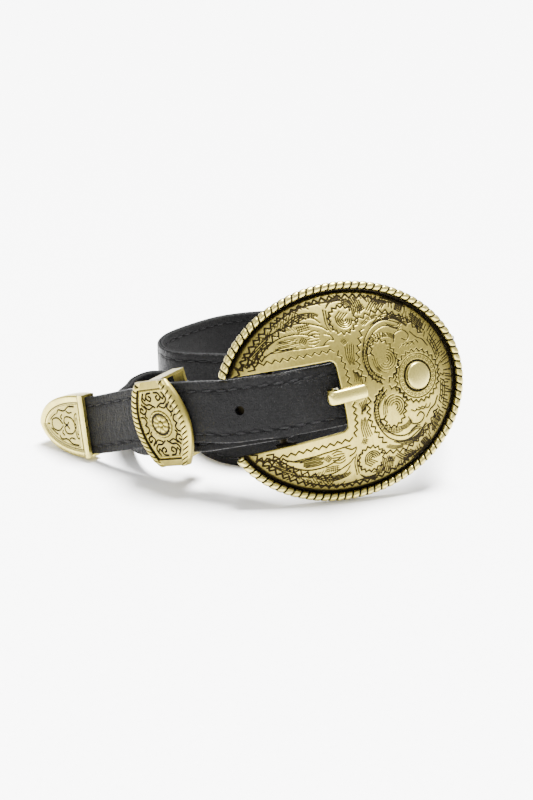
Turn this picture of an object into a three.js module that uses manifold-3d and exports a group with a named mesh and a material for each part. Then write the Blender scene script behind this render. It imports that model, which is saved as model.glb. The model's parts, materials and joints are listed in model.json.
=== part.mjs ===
// A western belt, buckled and rolled up: a domed oval buckle with a rope edge, its prong and
// crossbar, a barrel-shaped keeper, a bullet tip and the leather strap that joins them.
// Millimetres, +Z up. The belt stands on the edge of its strap, the buckle faces -Y.
import * as THREE from 'three';
import * as BufferGeometryUtils from 'three/addons/utils/BufferGeometryUtils.js';
import Module from 'manifold-3d';

const wasm = await Module();
wasm.setup();

// ---- driving dimensions -------------------------------------------------------------------
const FIT = 0.3;                 // gap between pieces that touch
const SLIP = 0.5;                // gap round a piece that moves in another

const STRAP_WIDTH = 25;
const LAYER_THICK = 1.45;        // one leather layer, face or lining
const STRAP_THICK = 2 * LAYER_THICK + FIT;
const EDGE_ROUND = 0.8;
const HOLE_RADIUS = 1.9;
const HOLE_PITCH = 35;
const HOLES_EACH_WAY = 2;

const BUCKLE_LONG = 50;          // half axes of the rope edge's centre line
const BUCKLE_SHORT = 41.85;
const ROPE_RADIUS = 1.65;
const DOME_HEIGHT = 12;
const PLATE_THICK = 2;
const NOTCH_X = -3;              // inner edge of the notch
const NOTCH_ROOM = 1.5;          // between the strap's edge and the notch at its inner end
const NOTCH_FLARE = 2;           // how much wider each side is at the mouth
const NOTCH_INNER = STRAP_WIDTH / 2 + NOTCH_ROOM;
const NOTCH_MOUTH = NOTCH_INNER + NOTCH_FLARE;
const NOTCH_CORNER = 2.5;

const BAR_RADIUS = 1.6;
const BAR_X = -27;
const BAR_Z = -1.8;
const LUG_HALF = 3.4;
const LUG_WIDTH = 4;
const BAR_SLOPE = 30;            // degrees that the chape slopes back from the plate

const PRONG_WIDTH = 5.4;
const PRONG_THICK = 2.2;
const PRONG_WALL = 1.3;
const PRONG_REACH = 9.4;         // how far the prong lies over the plate
const PRONG_NECK = 24.4;          // radius of the neck about the crossbar

const BOSS_X = 29.8;
const BOSS_RADIUS = 5.4;
const BOSS_HEIGHT = 1.6;
const STEM_RADIUS = 1.2;

const KEEPER_ROOM = 11.4;        // height for the chape, which hangs lower, and the strip
const KEEPER_HEIGHT = STRAP_WIDTH + KEEPER_ROOM;
const KEEPER_MIDDLE = 29.5;
const KEEPER_END = 16.5;
const KEEPER_THICK = 2.6;
const KEEPER_DEPTH = 17;
const KEEPER_DROP = 3.2;         // the keeper hangs this far below the free strap's middle
const STRIP_WIDTH = 6;
const STRIP_THICK = 1.2;

const TIP_LENGTH = 31;
const TIP_WALL = 1.1;
const TIP_ROOM = 0.2;            // between the strap's edge and the tip's wall
const TIP_HEIGHT = STRAP_WIDTH + 2 * (TIP_WALL + TIP_ROOM);
const TIP_FRONT = 2;
const TIP_BACK = 1;
const TACK_RADIUS = 0.8;

const SNAP_RADIUS = 5.4;
const SNAP_POST = 1.6;
const SNAP_FIRST = 12;           // from the crossbar to the first snap
const SNAP_PITCH = 12;
const FLAP_LENGTH = 31;

// ---- where the buckle stands --------------------------------------------------------------
const BUCKLE_AT = [30, -74.8, 42.9];
const BUCKLE_YAW = 13.1;
const BUCKLE_LEAN = 16.6;
const BUCKLE_ROLL = 8.8;
const STAND = STRAP_WIDTH / 2;   // height of the strap's middle where it stands on its edge

const rad = THREE.MathUtils.degToRad;
const vec = (x, y, z) => new THREE.Vector3(x, y, z);
const AXIS_X = vec(1, 0, 0);
const AXIS_Y = vec(0, 1, 0);
const AXIS_Z = vec(0, 0, 1);

const buckleTurn = new THREE.Quaternion().setFromAxisAngle(AXIS_Z, rad(BUCKLE_YAW))
  .multiply(new THREE.Quaternion().setFromAxisAngle(AXIS_X, rad(90 - BUCKLE_LEAN)))
  .multiply(new THREE.Quaternion().setFromAxisAngle(AXIS_Z, rad(BUCKLE_ROLL)));
const bucklePlace = new THREE.Matrix4().compose(vec(...BUCKLE_AT), buckleTurn, vec(1, 1, 1));
const buckleUp = AXIS_Y.clone().applyQuaternion(buckleTurn);
const onBuckle = (x, y, z) => vec(x, y, z).applyMatrix4(bucklePlace);

// ---- materials ----------------------------------------------------------------------------
const metal = (color) => new THREE.MeshStandardMaterial({ color, roughness: 0.36, metalness: 0.95 });
const brass = () => metal(0xb9a878);
const darkBrass = () => metal(0x7d6d45);
const leather = () => new THREE.MeshStandardMaterial({ color: 0x1c1c1e, roughness: 0.55, metalness: 0 });
const suede = () => new THREE.MeshStandardMaterial({ color: 0x2a2826, roughness: 0.8, metalness: 0 });

// ---- solids -------------------------------------------------------------------------------
function solid(geometry) {
  const bare = geometry.index ? geometry.clone() : geometry;
  bare.deleteAttribute('normal');
  bare.deleteAttribute('uv');
  const merged = BufferGeometryUtils.mergeVertices(bare, 1e-4);
  return new wasm.Manifold(new wasm.Mesh({
    numProp: 3,
    vertProperties: new Float32Array(merged.attributes.position.array),
    triVerts: new Uint32Array(merged.index.array),
  }));
}

function geometryOf(manifold) {
  const mesh = manifold.getMesh();
  const geometry = new THREE.BufferGeometry();
  geometry.setAttribute('position', new THREE.BufferAttribute(mesh.vertProperties, 3));
  geometry.setIndex(new THREE.BufferAttribute(mesh.triVerts, 1));
  geometry.computeVertexNormals();
  return geometry;
}

function prism(shape, z0, z1, curveSegments = 6) {
  const geometry = new THREE.ExtrudeGeometry(shape, {
    depth: z1 - z0, bevelEnabled: false, curveSegments });
  return geometry.translate(0, 0, z0);
}

function block(x0, x1, y0, y1, z0, z1) {
  return new THREE.BoxGeometry(x1 - x0, y1 - y0, z1 - z0)
    .translate((x0 + x1) / 2, (y0 + y1) / 2, (z0 + z1) / 2);
}

// a turned piece about the z axis from [radius, height] pairs that start and end on the axis
function turned(profile, segments = 20) {
  const points = profile.map(([radius, height]) => new THREE.Vector2(radius, height));
  return new THREE.LatheGeometry(points, segments).rotateX(Math.PI / 2);
}

function disc(radius, z0, z1, segments = 20) {
  return turned([[0, z0], [radius, z0], [radius, z1], [0, z1]], segments);
}

function named(name, geometry, material) {
  const mesh = new THREE.Mesh(geometry, material);
  mesh.name = name;
  return mesh;
}

// ---- the strap's route --------------------------------------------------------------------
const tipUp = vec(-0.2, 0.25, 0.947);
const keeperUp = vec(-0.3, 0.18, 0.93);
const station = (at, up, width = 1) => ({ at, up, width });
const floor = (x, y) => station(vec(x, y, STAND), AXIS_Z);

// the free end: from the tip through the keeper, over the crossbar and behind the plate
const TIP_END = vec(-100.2, -24.6, 9.2);
const TIP_MOUTH = vec(-75.4, -45, 15.5);
const inTip = (share) => TIP_MOUTH.clone().lerp(TIP_END, share);
const MOUTH_STATION = 2;
const KEEPER_STATION = 4;
const PRONG_STATION = 9;
const halfway = keeperUp.clone().add(buckleUp);
const freeRun = [
  station(inTip(0.72), tipUp, 0.45),
  station(inTip(0.45), tipUp, 0.86),
  station(inTip(0), tipUp),
  station(vec(-59, -57, 23), tipUp),
  station(vec(-40.6, -69.8, 31.7), keeperUp),
  station(onBuckle(-55.9, 4.6, -9), halfway),
  station(onBuckle(-46, 2.8, -3), buckleUp),
  station(onBuckle(-36, 2.3, 2.6), buckleUp),
  station(onBuckle(-28, 1.6, 6.1), buckleUp),
  station(onBuckle(-8, 0.6, 7.3), buckleUp),
  station(onBuckle(2, 0.3, 6.7), buckleUp),
  station(onBuckle(15, 0, 4.6), buckleUp),
  station(onBuckle(30, -0.5, -0.4), buckleUp),
  station(onBuckle(45, -1.5, -7), buckleUp),
];

// the coil behind the buckle, its fold, and the strap's way back to the chape
const coilRun = [
  station(vec(77.5, -40, 41.5), AXIS_Z),
  station(vec(80, -13, 32), AXIS_Z),
  station(vec(76.5, 16, 22.5), AXIS_Z),
  station(vec(64, 46, 15), AXIS_Z),
  station(vec(44, 72, 12.7), AXIS_Z),
  floor(10, 88.5),
  floor(-20, 82),
  floor(-39.5, 65),
  floor(-51, 48),
  floor(-52.3, 34.5),
  floor(-46, 24.5),
  floor(-25, 20.5),
  floor(5, 19.5),
  floor(35, 20.5),
  floor(52, 20),
  floor(64, 14),
  floor(69, 1),
  floor(67, -16),
  floor(57, -33),
  floor(38, -47),
  floor(18, -52.5),
  floor(-2, -53.5),
  floor(-17, -50),
  floor(-28, -39),
  floor(-34, -22),
  floor(-42, -7),
  floor(-53, -4),
  floor(-60, -12),
  station(vec(-62, -22, 12.75), AXIS_Z),
  station(vec(-62, -34, 13.8), tipUp),
];

function routeOf(stations) {
  const places = new THREE.CatmullRomCurve3(stations.map((one) => one.at), false, 'centripetal');
  const ups = new THREE.CatmullRomCurve3(stations.map((one) => one.up), false, 'catmullrom');
  const frameAt = (t) => {
    const along = places.getTangent(t);
    const up = ups.getPoint(t);
    up.addScaledVector(along, -up.dot(along)).normalize();
    const out = along.clone().cross(up);
    return { at: places.getPoint(t), along, up, out };
  };
  return { places, frameAt, last: stations.length - 1 };
}

const freeRoute = routeOf(freeRun);
const freeFrame = (index) => freeRoute.frameAt(index / freeRoute.last);

// the chape: behind the free end through the keeper, round the crossbar and back as a flap
const KEEPER_BEHIND = STRAP_THICK + 1.3;
const KEEPER_LOWER = 5.6;
const WRAP = BAR_RADIUS + FIT + STRAP_THICK / 2;
const chapeAlong = vec(-Math.cos(rad(BAR_SLOPE)), 0, -Math.sin(rad(BAR_SLOPE)));
const chapeOut = vec(-Math.sin(rad(BAR_SLOPE)), 0, Math.cos(rad(BAR_SLOPE)));
const onChape = (along, across, out) => vec(BAR_X, 0, BAR_Z)
  .addScaledVector(chapeAlong, along).addScaledVector(AXIS_Y, across).addScaledVector(chapeOut, out);
const chapePlace = (along, out) => onChape(along, 0, out).applyMatrix4(bucklePlace);

function behindFree(index, behind, lower) {
  const frame = freeFrame(index);
  const at = frame.at.addScaledVector(frame.out, -behind).addScaledVector(frame.up, -lower);
  return station(at, frame.up);
}

const WRAP_STEPS = 6;
const wrapRun = [];
for (let step = 0; step <= WRAP_STEPS; step += 1) {
  const turn = Math.PI * step / WRAP_STEPS;
  wrapRun.push(station(chapePlace(-WRAP * Math.sin(turn), WRAP * Math.cos(turn)), buckleUp));
}
const chapeRun = [
  behindFree(3.1, KEEPER_BEHIND + 1, 4.5),
  behindFree(KEEPER_STATION, KEEPER_BEHIND, KEEPER_LOWER),
  station(chapePlace(FLAP_LENGTH + 3, WRAP - 1.1), halfway),
  station(chapePlace(FLAP_LENGTH - 5, WRAP), buckleUp),
  station(chapePlace(SNAP_FIRST, WRAP), buckleUp),
  station(chapePlace(4, WRAP), buckleUp),
  ...wrapRun,
  station(chapePlace(4, -WRAP), buckleUp),
  station(chapePlace(SNAP_FIRST, -WRAP), buckleUp),
  station(chapePlace(FLAP_LENGTH - 5, -WRAP), buckleUp),
  station(chapePlace(FLAP_LENGTH, -WRAP), buckleUp, 0.8),
];
const strapRun = [...freeRun, ...coilRun, ...chapeRun];
const strapRoute = routeOf(strapRun);

// ---- the strap ----------------------------------------------------------------------------
// one leather layer, lofted along the route between two distances from its middle
function layer(inner, outer) {
  const stepsPerStation = 2;
  const steps = strapRoute.last * stepsPerStation;
  const turn = Math.sign(outer - inner);
  const corner = outer - turn * EDGE_ROUND;
  const vertices = [];
  const faces = [];
  for (let step = 0; step <= steps; step += 1) {
    const frame = strapRoute.frameAt(step / steps);
    const before = strapRun[Math.floor(step / stepsPerStation)];
    const after = strapRun[Math.ceil(step / stepsPerStation)];
    const half = STRAP_WIDTH / 2 * (before.width + after.width) / 2;
    const section = [[inner, -half], [corner, -half], [outer, EDGE_ROUND - half],
      [outer, half - EDGE_ROUND], [corner, half], [inner, half]];
    if (turn < 0) section.reverse();
    for (const [out, up] of section) {
      const point = frame.at.clone().addScaledVector(frame.out, out).addScaledVector(frame.up, up);
      vertices.push(point.x, point.y, point.z);
    }
  }
  const sides = 6;
  for (let step = 0; step < steps; step += 1) {
    for (let side = 0; side < sides; side += 1) {
      const a = step * sides + side;
      const b = step * sides + (side + 1) % sides;
      const c = a + sides;
      const d = b + sides;
      if (turn > 0) faces.push(a, c, b, b, c, d);
      else faces.push(a, c, d, a, d, b);
    }
  }
  const end = steps * sides;
  for (let side = 1; side < sides - 1; side += 1) {
    faces.push(0, side, side + 1, end, end + side + 1, end + side);
  }
  const geometry = new THREE.BufferGeometry();
  geometry.setAttribute('position', new THREE.Float32BufferAttribute(vertices, 3));
  geometry.setIndex(faces);
  return solid(geometry);
}

// a cutter or piece drawn in a frame whose z axis points out of the strap
function frameMatrix(frame) {
  return new THREE.Matrix4().makeBasis(frame.along, frame.up, frame.out).setPosition(frame.at);
}

// the frame on the free end at a distance along it from the prong, positive towards the tip
function freeAt(distance) {
  const samples = 400;
  const start = PRONG_STATION / strapRoute.last;
  let walked = 0;
  let spot = start;
  let here = strapRoute.places.getPoint(start);
  const step = -Math.sign(distance) / samples * start;
  while (walked < Math.abs(distance)) {
    spot += step;
    const next = strapRoute.places.getPoint(spot);
    walked += next.distanceTo(here);
    here = next;
  }
  return strapRoute.frameAt(spot);
}

const holeCutters = [];
for (let number = -HOLES_EACH_WAY; number <= HOLES_EACH_WAY; number += 1) {
  if (number !== 0) {
    const cutter = disc(HOLE_RADIUS, -STRAP_THICK, STRAP_THICK, 12);
    holeCutters.push(solid(cutter.applyMatrix4(frameMatrix(freeAt(number * HOLE_PITCH)))));
  }
}

// the hole that the prong is in, drawn out along the strap, and the chape's slot round it
const neckX = (z) => BAR_X + Math.sqrt(PRONG_NECK ** 2 - (z - BAR_Z) ** 2);
const neckHalf = PRONG_THICK / 2 + SLIP + 0.3;
const prongHole = solid(block(neckX(11) - neckHalf, neckX(4) + neckHalf,
  -PRONG_WIDTH / 2 - SLIP, PRONG_WIDTH / 2 + SLIP, 4.5, 11).applyMatrix4(bucklePlace));
const slotHalf = PRONG_WIDTH / 2 + SLIP + 0.2;
const chapeSlot = solid(block(BAR_X - 5, BAR_X + 8, -slotHalf, slotHalf, BAR_Z - 9, BAR_Z + 6.2)
  .applyMatrix4(bucklePlace));

const snapPlaces = [SNAP_FIRST, SNAP_FIRST + SNAP_PITCH].map((along) => {
  const place = new THREE.Matrix4().makeBasis(chapeAlong.clone().negate(), AXIS_Y, chapeOut);
  return place.setPosition(onChape(along, 0, WRAP)).premultiply(bucklePlace);
});
const snapHoles = snapPlaces.map((place) => solid(
  disc(SNAP_POST + FIT, -2 * WRAP - STRAP_THICK, STRAP_THICK / 2 + FIT, 12).applyMatrix4(place)));

const tipPlace = (() => {
  const frame = freeFrame(MOUTH_STATION);
  const along = TIP_END.clone().sub(TIP_MOUTH).normalize();
  const down = frame.up.clone().addScaledVector(along, -frame.up.dot(along)).normalize().negate();
  const out = along.clone().cross(down);
  return new THREE.Matrix4().makeBasis(along, down, out).setPosition(frame.at);
})();
const TACK_SPOTS = [[11, 5], [11, -5]];
const tackHoles = TACK_SPOTS.map(([x, y]) => solid(
  disc(TACK_RADIUS + FIT, -STRAP_THICK, STRAP_THICK, 8).translate(x, y, 0).applyMatrix4(tipPlace)));

function strapLayer(name, inner, outer, material) {
  let cut = layer(inner, outer);
  for (const cutter of [...holeCutters, prongHole, chapeSlot, ...snapHoles, ...tackHoles]) {
    cut = cut.subtract(cutter);
  }
  return named(name, geometryOf(cut), material);
}

// ---- the buckle ---------------------------------------------------------------------------
const oval = BUCKLE_SHORT / BUCKLE_LONG;
const panelLong = (BUCKLE_SHORT - ROPE_RADIUS - FIT) / oval;
const domeTop = (share) => DOME_HEIGHT * (1 - share * share);

function plateBlank() {
  const rings = 9;
  const seat = -ROPE_RADIUS - FIT;
  const profile = [];
  for (let ring = 0; ring <= rings; ring += 1) {
    const share = ring / rings;
    profile.push([share * panelLong, domeTop(share)]);
  }
  profile.push([panelLong, seat], [BUCKLE_LONG, seat], [BUCKLE_LONG, seat - PLATE_THICK / 2]);
  for (let ring = rings; ring >= 0; ring -= 1) {
    const share = ring / rings * 0.985;
    const inside = domeTop(share) - PLATE_THICK;
    profile.push([share * panelLong, Math.max(inside, seat - PLATE_THICK / 2)]);
  }
  return turned(profile.reverse(), 72).scale(1, oval, 1);
}

function notchShape(margin) {
  const far = -BUCKLE_LONG - 10;
  const slope = (NOTCH_MOUTH - NOTCH_INNER) / (BUCKLE_LONG + NOTCH_X);
  const farHalf = NOTCH_INNER + slope * (NOTCH_X - far) - margin;
  const half = NOTCH_INNER - margin;
  const edge = NOTCH_X - margin;
  const shape = new THREE.Shape();
  shape.moveTo(far, -farHalf);
  shape.lineTo(edge - NOTCH_CORNER, -half);
  shape.quadraticCurveTo(edge, -half, edge, -half + NOTCH_CORNER);
  shape.lineTo(edge, half - NOTCH_CORNER);
  shape.quadraticCurveTo(edge, half, edge - NOTCH_CORNER, half);
  shape.lineTo(far, farHalf);
  return shape;
}

const notch = solid(prism(notchShape(0), -DOME_HEIGHT, 2 * DOME_HEIGHT, 4));
const lugInner = NOTCH_INNER + 0.6;
const shareAt = (x, y) => Math.hypot(x, y / oval) / panelLong;
const plateAt = (x, y) => domeTop(shareAt(x, y));

function lug(side) {
  const top = plateAt(BAR_X, lugInner + LUG_WIDTH) - PLATE_THICK / 2;
  const y0 = side > 0 ? lugInner : -lugInner - LUG_WIDTH;
  return solid(block(BAR_X - LUG_HALF, BAR_X + LUG_HALF, y0, y0 + LUG_WIDTH, BAR_Z - LUG_HALF, top));
}

const bossPlace = (() => {
  const slope = 2 * DOME_HEIGHT * BOSS_X / panelLong ** 2;
  const tilt = new THREE.Quaternion().setFromAxisAngle(AXIS_Y, Math.atan(slope));
  return new THREE.Matrix4().compose(vec(BOSS_X, 0, plateAt(BOSS_X, 0)), tilt, vec(1, 1, 1));
})();

function bucklePlate() {
  const barHole = disc(BAR_RADIUS + FIT, -BUCKLE_SHORT, BUCKLE_SHORT, 16)
    .rotateX(Math.PI / 2).translate(BAR_X, 0, BAR_Z);
  const stemHole = disc(STEM_RADIUS + FIT, -2 * PLATE_THICK, PLATE_THICK, 12).applyMatrix4(bossPlace);
  const cut = solid(plateBlank()).add(lug(1)).add(lug(-1)).subtract(notch)
    .subtract(solid(barHole)).subtract(solid(stemHole));
  return named('buckle_plate', geometryOf(cut), brass());
}

function ropeEdge() {
  const section = new THREE.Shape().absarc(0, 0, ROPE_RADIUS, 0, 2 * Math.PI);
  const start = Math.PI - Math.asin(NOTCH_MOUTH / BUCKLE_SHORT) + 0.1;
  const path = new THREE.EllipseCurve(0, 0, BUCKLE_LONG, BUCKLE_SHORT, -start, start);
  const route = new THREE.CatmullRomCurve3(path.getPoints(60).map((p) => vec(p.x, p.y, 0)));
  const tube = new THREE.ExtrudeGeometry(section, {
    extrudePath: route, steps: 84, curveSegments: 5, bevelEnabled: false });
  return named('rope_edge', geometryOf(solid(tube).subtract(notch)), brass());
}

function bossStud() {
  const flat = FIT;
  const head = [[0, flat + BOSS_HEIGHT], [BOSS_RADIUS * 0.5, flat + BOSS_HEIGHT * 0.9],
    [BOSS_RADIUS * 0.82, flat + BOSS_HEIGHT * 0.6], [BOSS_RADIUS, flat + 0.5], [BOSS_RADIUS, flat]];
  const foot = -PLATE_THICK - 0.5;
  const stem = [[STEM_RADIUS, flat], [STEM_RADIUS, foot], [STEM_RADIUS * 1.6, foot - 0.1],
    [STEM_RADIUS * 1.6, foot - 0.6], [0, foot - 0.6]];
  const stud = named('centre_boss', turned([...head, ...stem].reverse(), 24), brass());
  stud.applyMatrix4(bossPlace);
  return stud;
}

function crossbar() {
  const half = lugInner + LUG_WIDTH;
  const bar = named('crossbar', disc(BAR_RADIUS, -half, half, 16), darkBrass());
  bar.rotation.x = Math.PI / 2;
  bar.position.set(BAR_X, 0, BAR_Z);
  return bar;
}

// the prong is drawn from the side, as a bent strip, and cut out of its own width
function prong() {
  const barrel = BAR_RADIUS + SLIP + PRONG_WALL;
  const half = PRONG_THICK / 2;
  const top = DOME_HEIGHT + FIT + half;
  const neck = (angle, offset) => {
    const reach = PRONG_NECK + offset;
    return [BAR_X + reach * Math.cos(rad(angle)), BAR_Z + reach * Math.sin(rad(angle))];
  };
  const low = BAR_Z + 0.8;
  const side = new THREE.Shape();
  side.moveTo(BAR_X + barrel * 0.7, low - half);
  side.lineTo(neck(0, 0)[0], low - half);
  side.quadraticCurveTo(neck(2, half)[0] + 0.2, low - half, ...neck(8, half));
  side.lineTo(...neck(14, half));
  side.lineTo(...neck(20, half));
  side.lineTo(...neck(26, half));
  side.quadraticCurveTo(neck(31, half)[0], top - half, NOTCH_X, top - half);
  side.lineTo(NOTCH_X + PRONG_REACH, top - half);
  side.lineTo(NOTCH_X + PRONG_REACH - 0.5, top + half * 0.4);
  side.lineTo(NOTCH_X + PRONG_REACH - 2.5, top + half);
  side.lineTo(NOTCH_X, top + half);
  side.quadraticCurveTo(neck(33, -half)[0] - 0.4, top + half, ...neck(29, -half));
  side.lineTo(...neck(24, -half));
  side.lineTo(...neck(19, -half));
  side.lineTo(...neck(13, -half));
  side.quadraticCurveTo(neck(4, -half)[0], low + half, neck(0, 0)[0] - 4, low + half);
  side.lineTo(BAR_X + barrel * 0.7, low + half);
  const width = PRONG_WIDTH / 2;
  const upright = new THREE.Matrix4().makeBasis(AXIS_X, AXIS_Z, vec(0, -1, 0));
  const strip = prism(side, -width, width, 4).applyMatrix4(upright);
  const round = disc(barrel, -width, width, 20).rotateX(Math.PI / 2).translate(BAR_X, 0, BAR_Z);
  const bore = disc(BAR_RADIUS + SLIP, -width - 1, width + 1, 16)
    .rotateX(Math.PI / 2).translate(BAR_X, 0, BAR_Z);
  return named('prong', geometryOf(solid(strip).add(solid(round)).subtract(solid(bore))), brass());
}

const buckle = new THREE.Group();
buckle.add(bucklePlate(), ropeEdge(), bossStud(), crossbar(), prong());
buckle.applyMatrix4(bucklePlace);

// ---- the keeper ---------------------------------------------------------------------------
function keeperOutline(inset) {
  const half = KEEPER_HEIGHT / 2 - inset;
  const end = KEEPER_END / 2 - inset;
  const bulge = KEEPER_MIDDLE - KEEPER_END / 2 - inset;
  const shape = new THREE.Shape();
  shape.moveTo(-end, -half);
  shape.lineTo(end, -half);
  shape.quadraticCurveTo(bulge, 0, end, half);
  shape.lineTo(-end, half);
  shape.quadraticCurveTo(-bulge, 0, -end, -half);
  return shape;
}

const KEEPER_BORDER = 3.6;
const KEEPER_RECESS = 0.8;
const keeperBack = STRAP_THICK / 2 + 1.4;

function keeperPlate() {
  const body = solid(prism(keeperOutline(0), keeperBack, keeperBack + KEEPER_THICK));
  const recess = solid(prism(keeperOutline(KEEPER_BORDER),
    keeperBack + KEEPER_THICK - KEEPER_RECESS, keeperBack + KEEPER_THICK + 1));
  return named('keeper_plate', geometryOf(body.subtract(recess)), brass());
}

function keeperLoop() {
  const outer = KEEPER_HEIGHT / 2 - 0.4;
  const inner = outer - STRIP_THICK;
  const front = keeperBack - FIT;
  const back = keeperBack - KEEPER_DEPTH;
  const foot = 2.6;
  const shape = new THREE.Shape();
  shape.moveTo(outer - foot, front);
  shape.lineTo(outer, front);
  shape.lineTo(outer, back);
  shape.lineTo(-outer, back);
  shape.lineTo(-outer, front);
  shape.lineTo(foot - outer, front);
  shape.lineTo(foot - outer, front - STRIP_THICK);
  shape.lineTo(-inner, front - STRIP_THICK);
  shape.lineTo(-inner, back + STRIP_THICK);
  shape.lineTo(inner, back + STRIP_THICK);
  shape.lineTo(inner, front - STRIP_THICK);
  shape.lineTo(outer - foot, front - STRIP_THICK);
  const turn = new THREE.Matrix4().makeBasis(AXIS_Y, AXIS_Z, AXIS_X);
  const strip = prism(shape, -STRIP_WIDTH / 2, STRIP_WIDTH / 2).applyMatrix4(turn);
  return named('keeper_loop', strip, darkBrass());
}

const keeper = new THREE.Group();
keeper.add(keeperPlate(), keeperLoop());
keeper.applyMatrix4((() => {
  const frame = freeFrame(KEEPER_STATION);
  frame.at.addScaledVector(frame.up, -KEEPER_DROP);
  return frameMatrix(frame);
})());

// ---- the tip ------------------------------------------------------------------------------
// drawn with its mouth at x = 0 and its point at x = TIP_LENGTH
function tipOutline(inset, mouth) {
  const half = TIP_HEIGHT / 2 - inset;
  const point = TIP_LENGTH - inset;
  const shape = new THREE.Shape();
  shape.moveTo(mouth, -half);
  shape.bezierCurveTo(point * 0.5, -half - 0.6, point * 0.92, -half * 0.7, point, 0);
  shape.bezierCurveTo(point * 0.92, half * 0.7, point * 0.5, half + 0.6, mouth, half);
  return shape;
}

const tipFace = STRAP_THICK / 2 + FIT;
const TIP_BORDER = 3;
const TIP_RECESS = 0.7;

function tipShell() {
  const front = tipFace + TIP_FRONT;
  const body = solid(prism(tipOutline(0, 0), -tipFace, front, 10));
  const pocket = solid(prism(tipOutline(TIP_WALL, -1), -tipFace - 1, tipFace, 10));
  const recess = solid(prism(tipOutline(TIP_BORDER, 2.6), front - TIP_RECESS, front + 1, 10));
  return named('tip_shell', geometryOf(body.subtract(pocket).subtract(recess)), brass());
}

function tipBack() {
  const plate = solid(prism(tipOutline(0.2, 0), -tipFace - FIT - TIP_BACK, -tipFace - FIT, 10));
  const holes = TACK_SPOTS.map(([x, y]) => solid(
    disc(TACK_RADIUS + FIT, -tipFace - 2 * TIP_BACK, -tipFace + 1, 10).translate(x, y, 0)));
  return named('tip_back', geometryOf(plate.subtract(holes[0]).subtract(holes[1])), darkBrass());
}

function tipTack(name, x, y) {
  const back = -tipFace - FIT - TIP_BACK;
  const head = TACK_RADIUS * 2;
  const tack = turned([[0, back - FIT - 0.7], [head, back - FIT - 0.7], [head, back - FIT],
    [TACK_RADIUS, back - FIT], [TACK_RADIUS, tipFace - FIT], [0, tipFace - FIT]], 12);
  return named(name, tack.translate(x, y, 0), darkBrass());
}

const tip = new THREE.Group();
tip.add(tipShell(), tipBack());
TACK_SPOTS.forEach(([x, y], index) => tip.add(tipTack(`tip_tack_${index + 1}`, x, y)));
tip.applyMatrix4(tipPlace);

// ---- the chape's snap fasteners -----------------------------------------------------------
// z = 0 is the middle of the chape, the flap's middle is 2 * WRAP behind it
function snap(number, place) {
  const face = STRAP_THICK / 2 + FIT;
  const flap = -2 * WRAP;
  const group = new THREE.Group();
  const post = turned([[0, -face - 0.3], [SNAP_POST, -face - 0.3], [SNAP_POST, face],
    [SNAP_RADIUS * 0.8, face], [SNAP_RADIUS * 0.7, face + 0.6], [0, face + 0.6]]);
  const studBase = -face - 0.6;
  const stud = turned([[0, studBase - 1.6], [1.9, studBase - 1.6], [2.3, studBase - 1.1],
    [2.1, studBase - 0.6], [SNAP_RADIUS * 0.8, studBase - 0.6], [SNAP_RADIUS * 0.8, studBase], [0, studBase]]);
  const socketTop = studBase - 0.6 - FIT;
  const socketFoot = flap + face;
  const socket = turned([[2.6, socketFoot + 0.2], [SNAP_POST + FIT, socketFoot + 0.2],
    [SNAP_POST + FIT, socketFoot], [SNAP_RADIUS, socketFoot], [SNAP_RADIUS * 0.86, socketTop],
    [2.6, socketTop], [2.6, socketFoot + 0.2]]);
  const capFoot = flap - face;
  const cap = turned([[0, capFoot - 1.2], [SNAP_RADIUS * 0.6, capFoot - 1.1],
    [SNAP_RADIUS * 0.93, capFoot - 0.7], [SNAP_RADIUS, capFoot - 0.2], [SNAP_RADIUS, capFoot],
    [SNAP_POST, capFoot], [SNAP_POST, flap + face - FIT], [0, flap + face - FIT]]);
  group.add(named(`snap_post_${number}`, post, darkBrass()));
  group.add(named(`snap_stud_${number}`, stud, darkBrass()));
  group.add(named(`snap_socket_${number}`, socket, darkBrass()));
  group.add(named(`snap_cap_${number}`, cap, brass()));
  group.applyMatrix4(place);
  return group;
}

// ---- the whole belt, standing with its footprint's middle at the origin --------------------
const belt = new THREE.Group();
belt.add(strapLayer('strap_face', FIT / 2, STRAP_THICK / 2, leather()));
belt.add(strapLayer('strap_lining', -FIT / 2, -STRAP_THICK / 2, suede()));
belt.add(buckle, keeper, tip);
snapPlaces.forEach((place, index) => belt.add(snap(index + 1, place)));

const box = new THREE.Box3().setFromObject(belt, true);
const middle = box.getCenter(vec(0, 0, 0));
belt.position.set(-middle.x, -middle.y, -box.min.z);

const part = new THREE.Group();
part.add(belt);
export default part;
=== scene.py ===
"""A western belt, rolled up and buckled, with an engraved oval buckle, a keeper and a tip."""
import json
import math
import random

import bpy
import numpy as np
from mathutils import Matrix, Quaternion, Vector
from mathutils.geometry import delaunay_2d_cdt


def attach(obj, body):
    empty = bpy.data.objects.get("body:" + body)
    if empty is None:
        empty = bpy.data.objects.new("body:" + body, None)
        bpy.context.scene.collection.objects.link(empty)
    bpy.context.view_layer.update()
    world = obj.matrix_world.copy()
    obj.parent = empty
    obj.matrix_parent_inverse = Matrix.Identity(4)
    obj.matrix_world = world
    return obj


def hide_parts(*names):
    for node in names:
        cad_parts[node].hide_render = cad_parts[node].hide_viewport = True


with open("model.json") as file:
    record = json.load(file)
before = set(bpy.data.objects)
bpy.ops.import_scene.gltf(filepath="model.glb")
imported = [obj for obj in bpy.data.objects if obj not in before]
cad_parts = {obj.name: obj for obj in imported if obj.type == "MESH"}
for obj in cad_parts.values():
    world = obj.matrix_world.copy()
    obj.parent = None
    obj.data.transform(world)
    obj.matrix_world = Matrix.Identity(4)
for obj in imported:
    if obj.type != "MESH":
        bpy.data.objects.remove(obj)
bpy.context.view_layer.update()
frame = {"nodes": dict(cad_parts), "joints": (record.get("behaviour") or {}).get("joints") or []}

MM = 0.001

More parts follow.
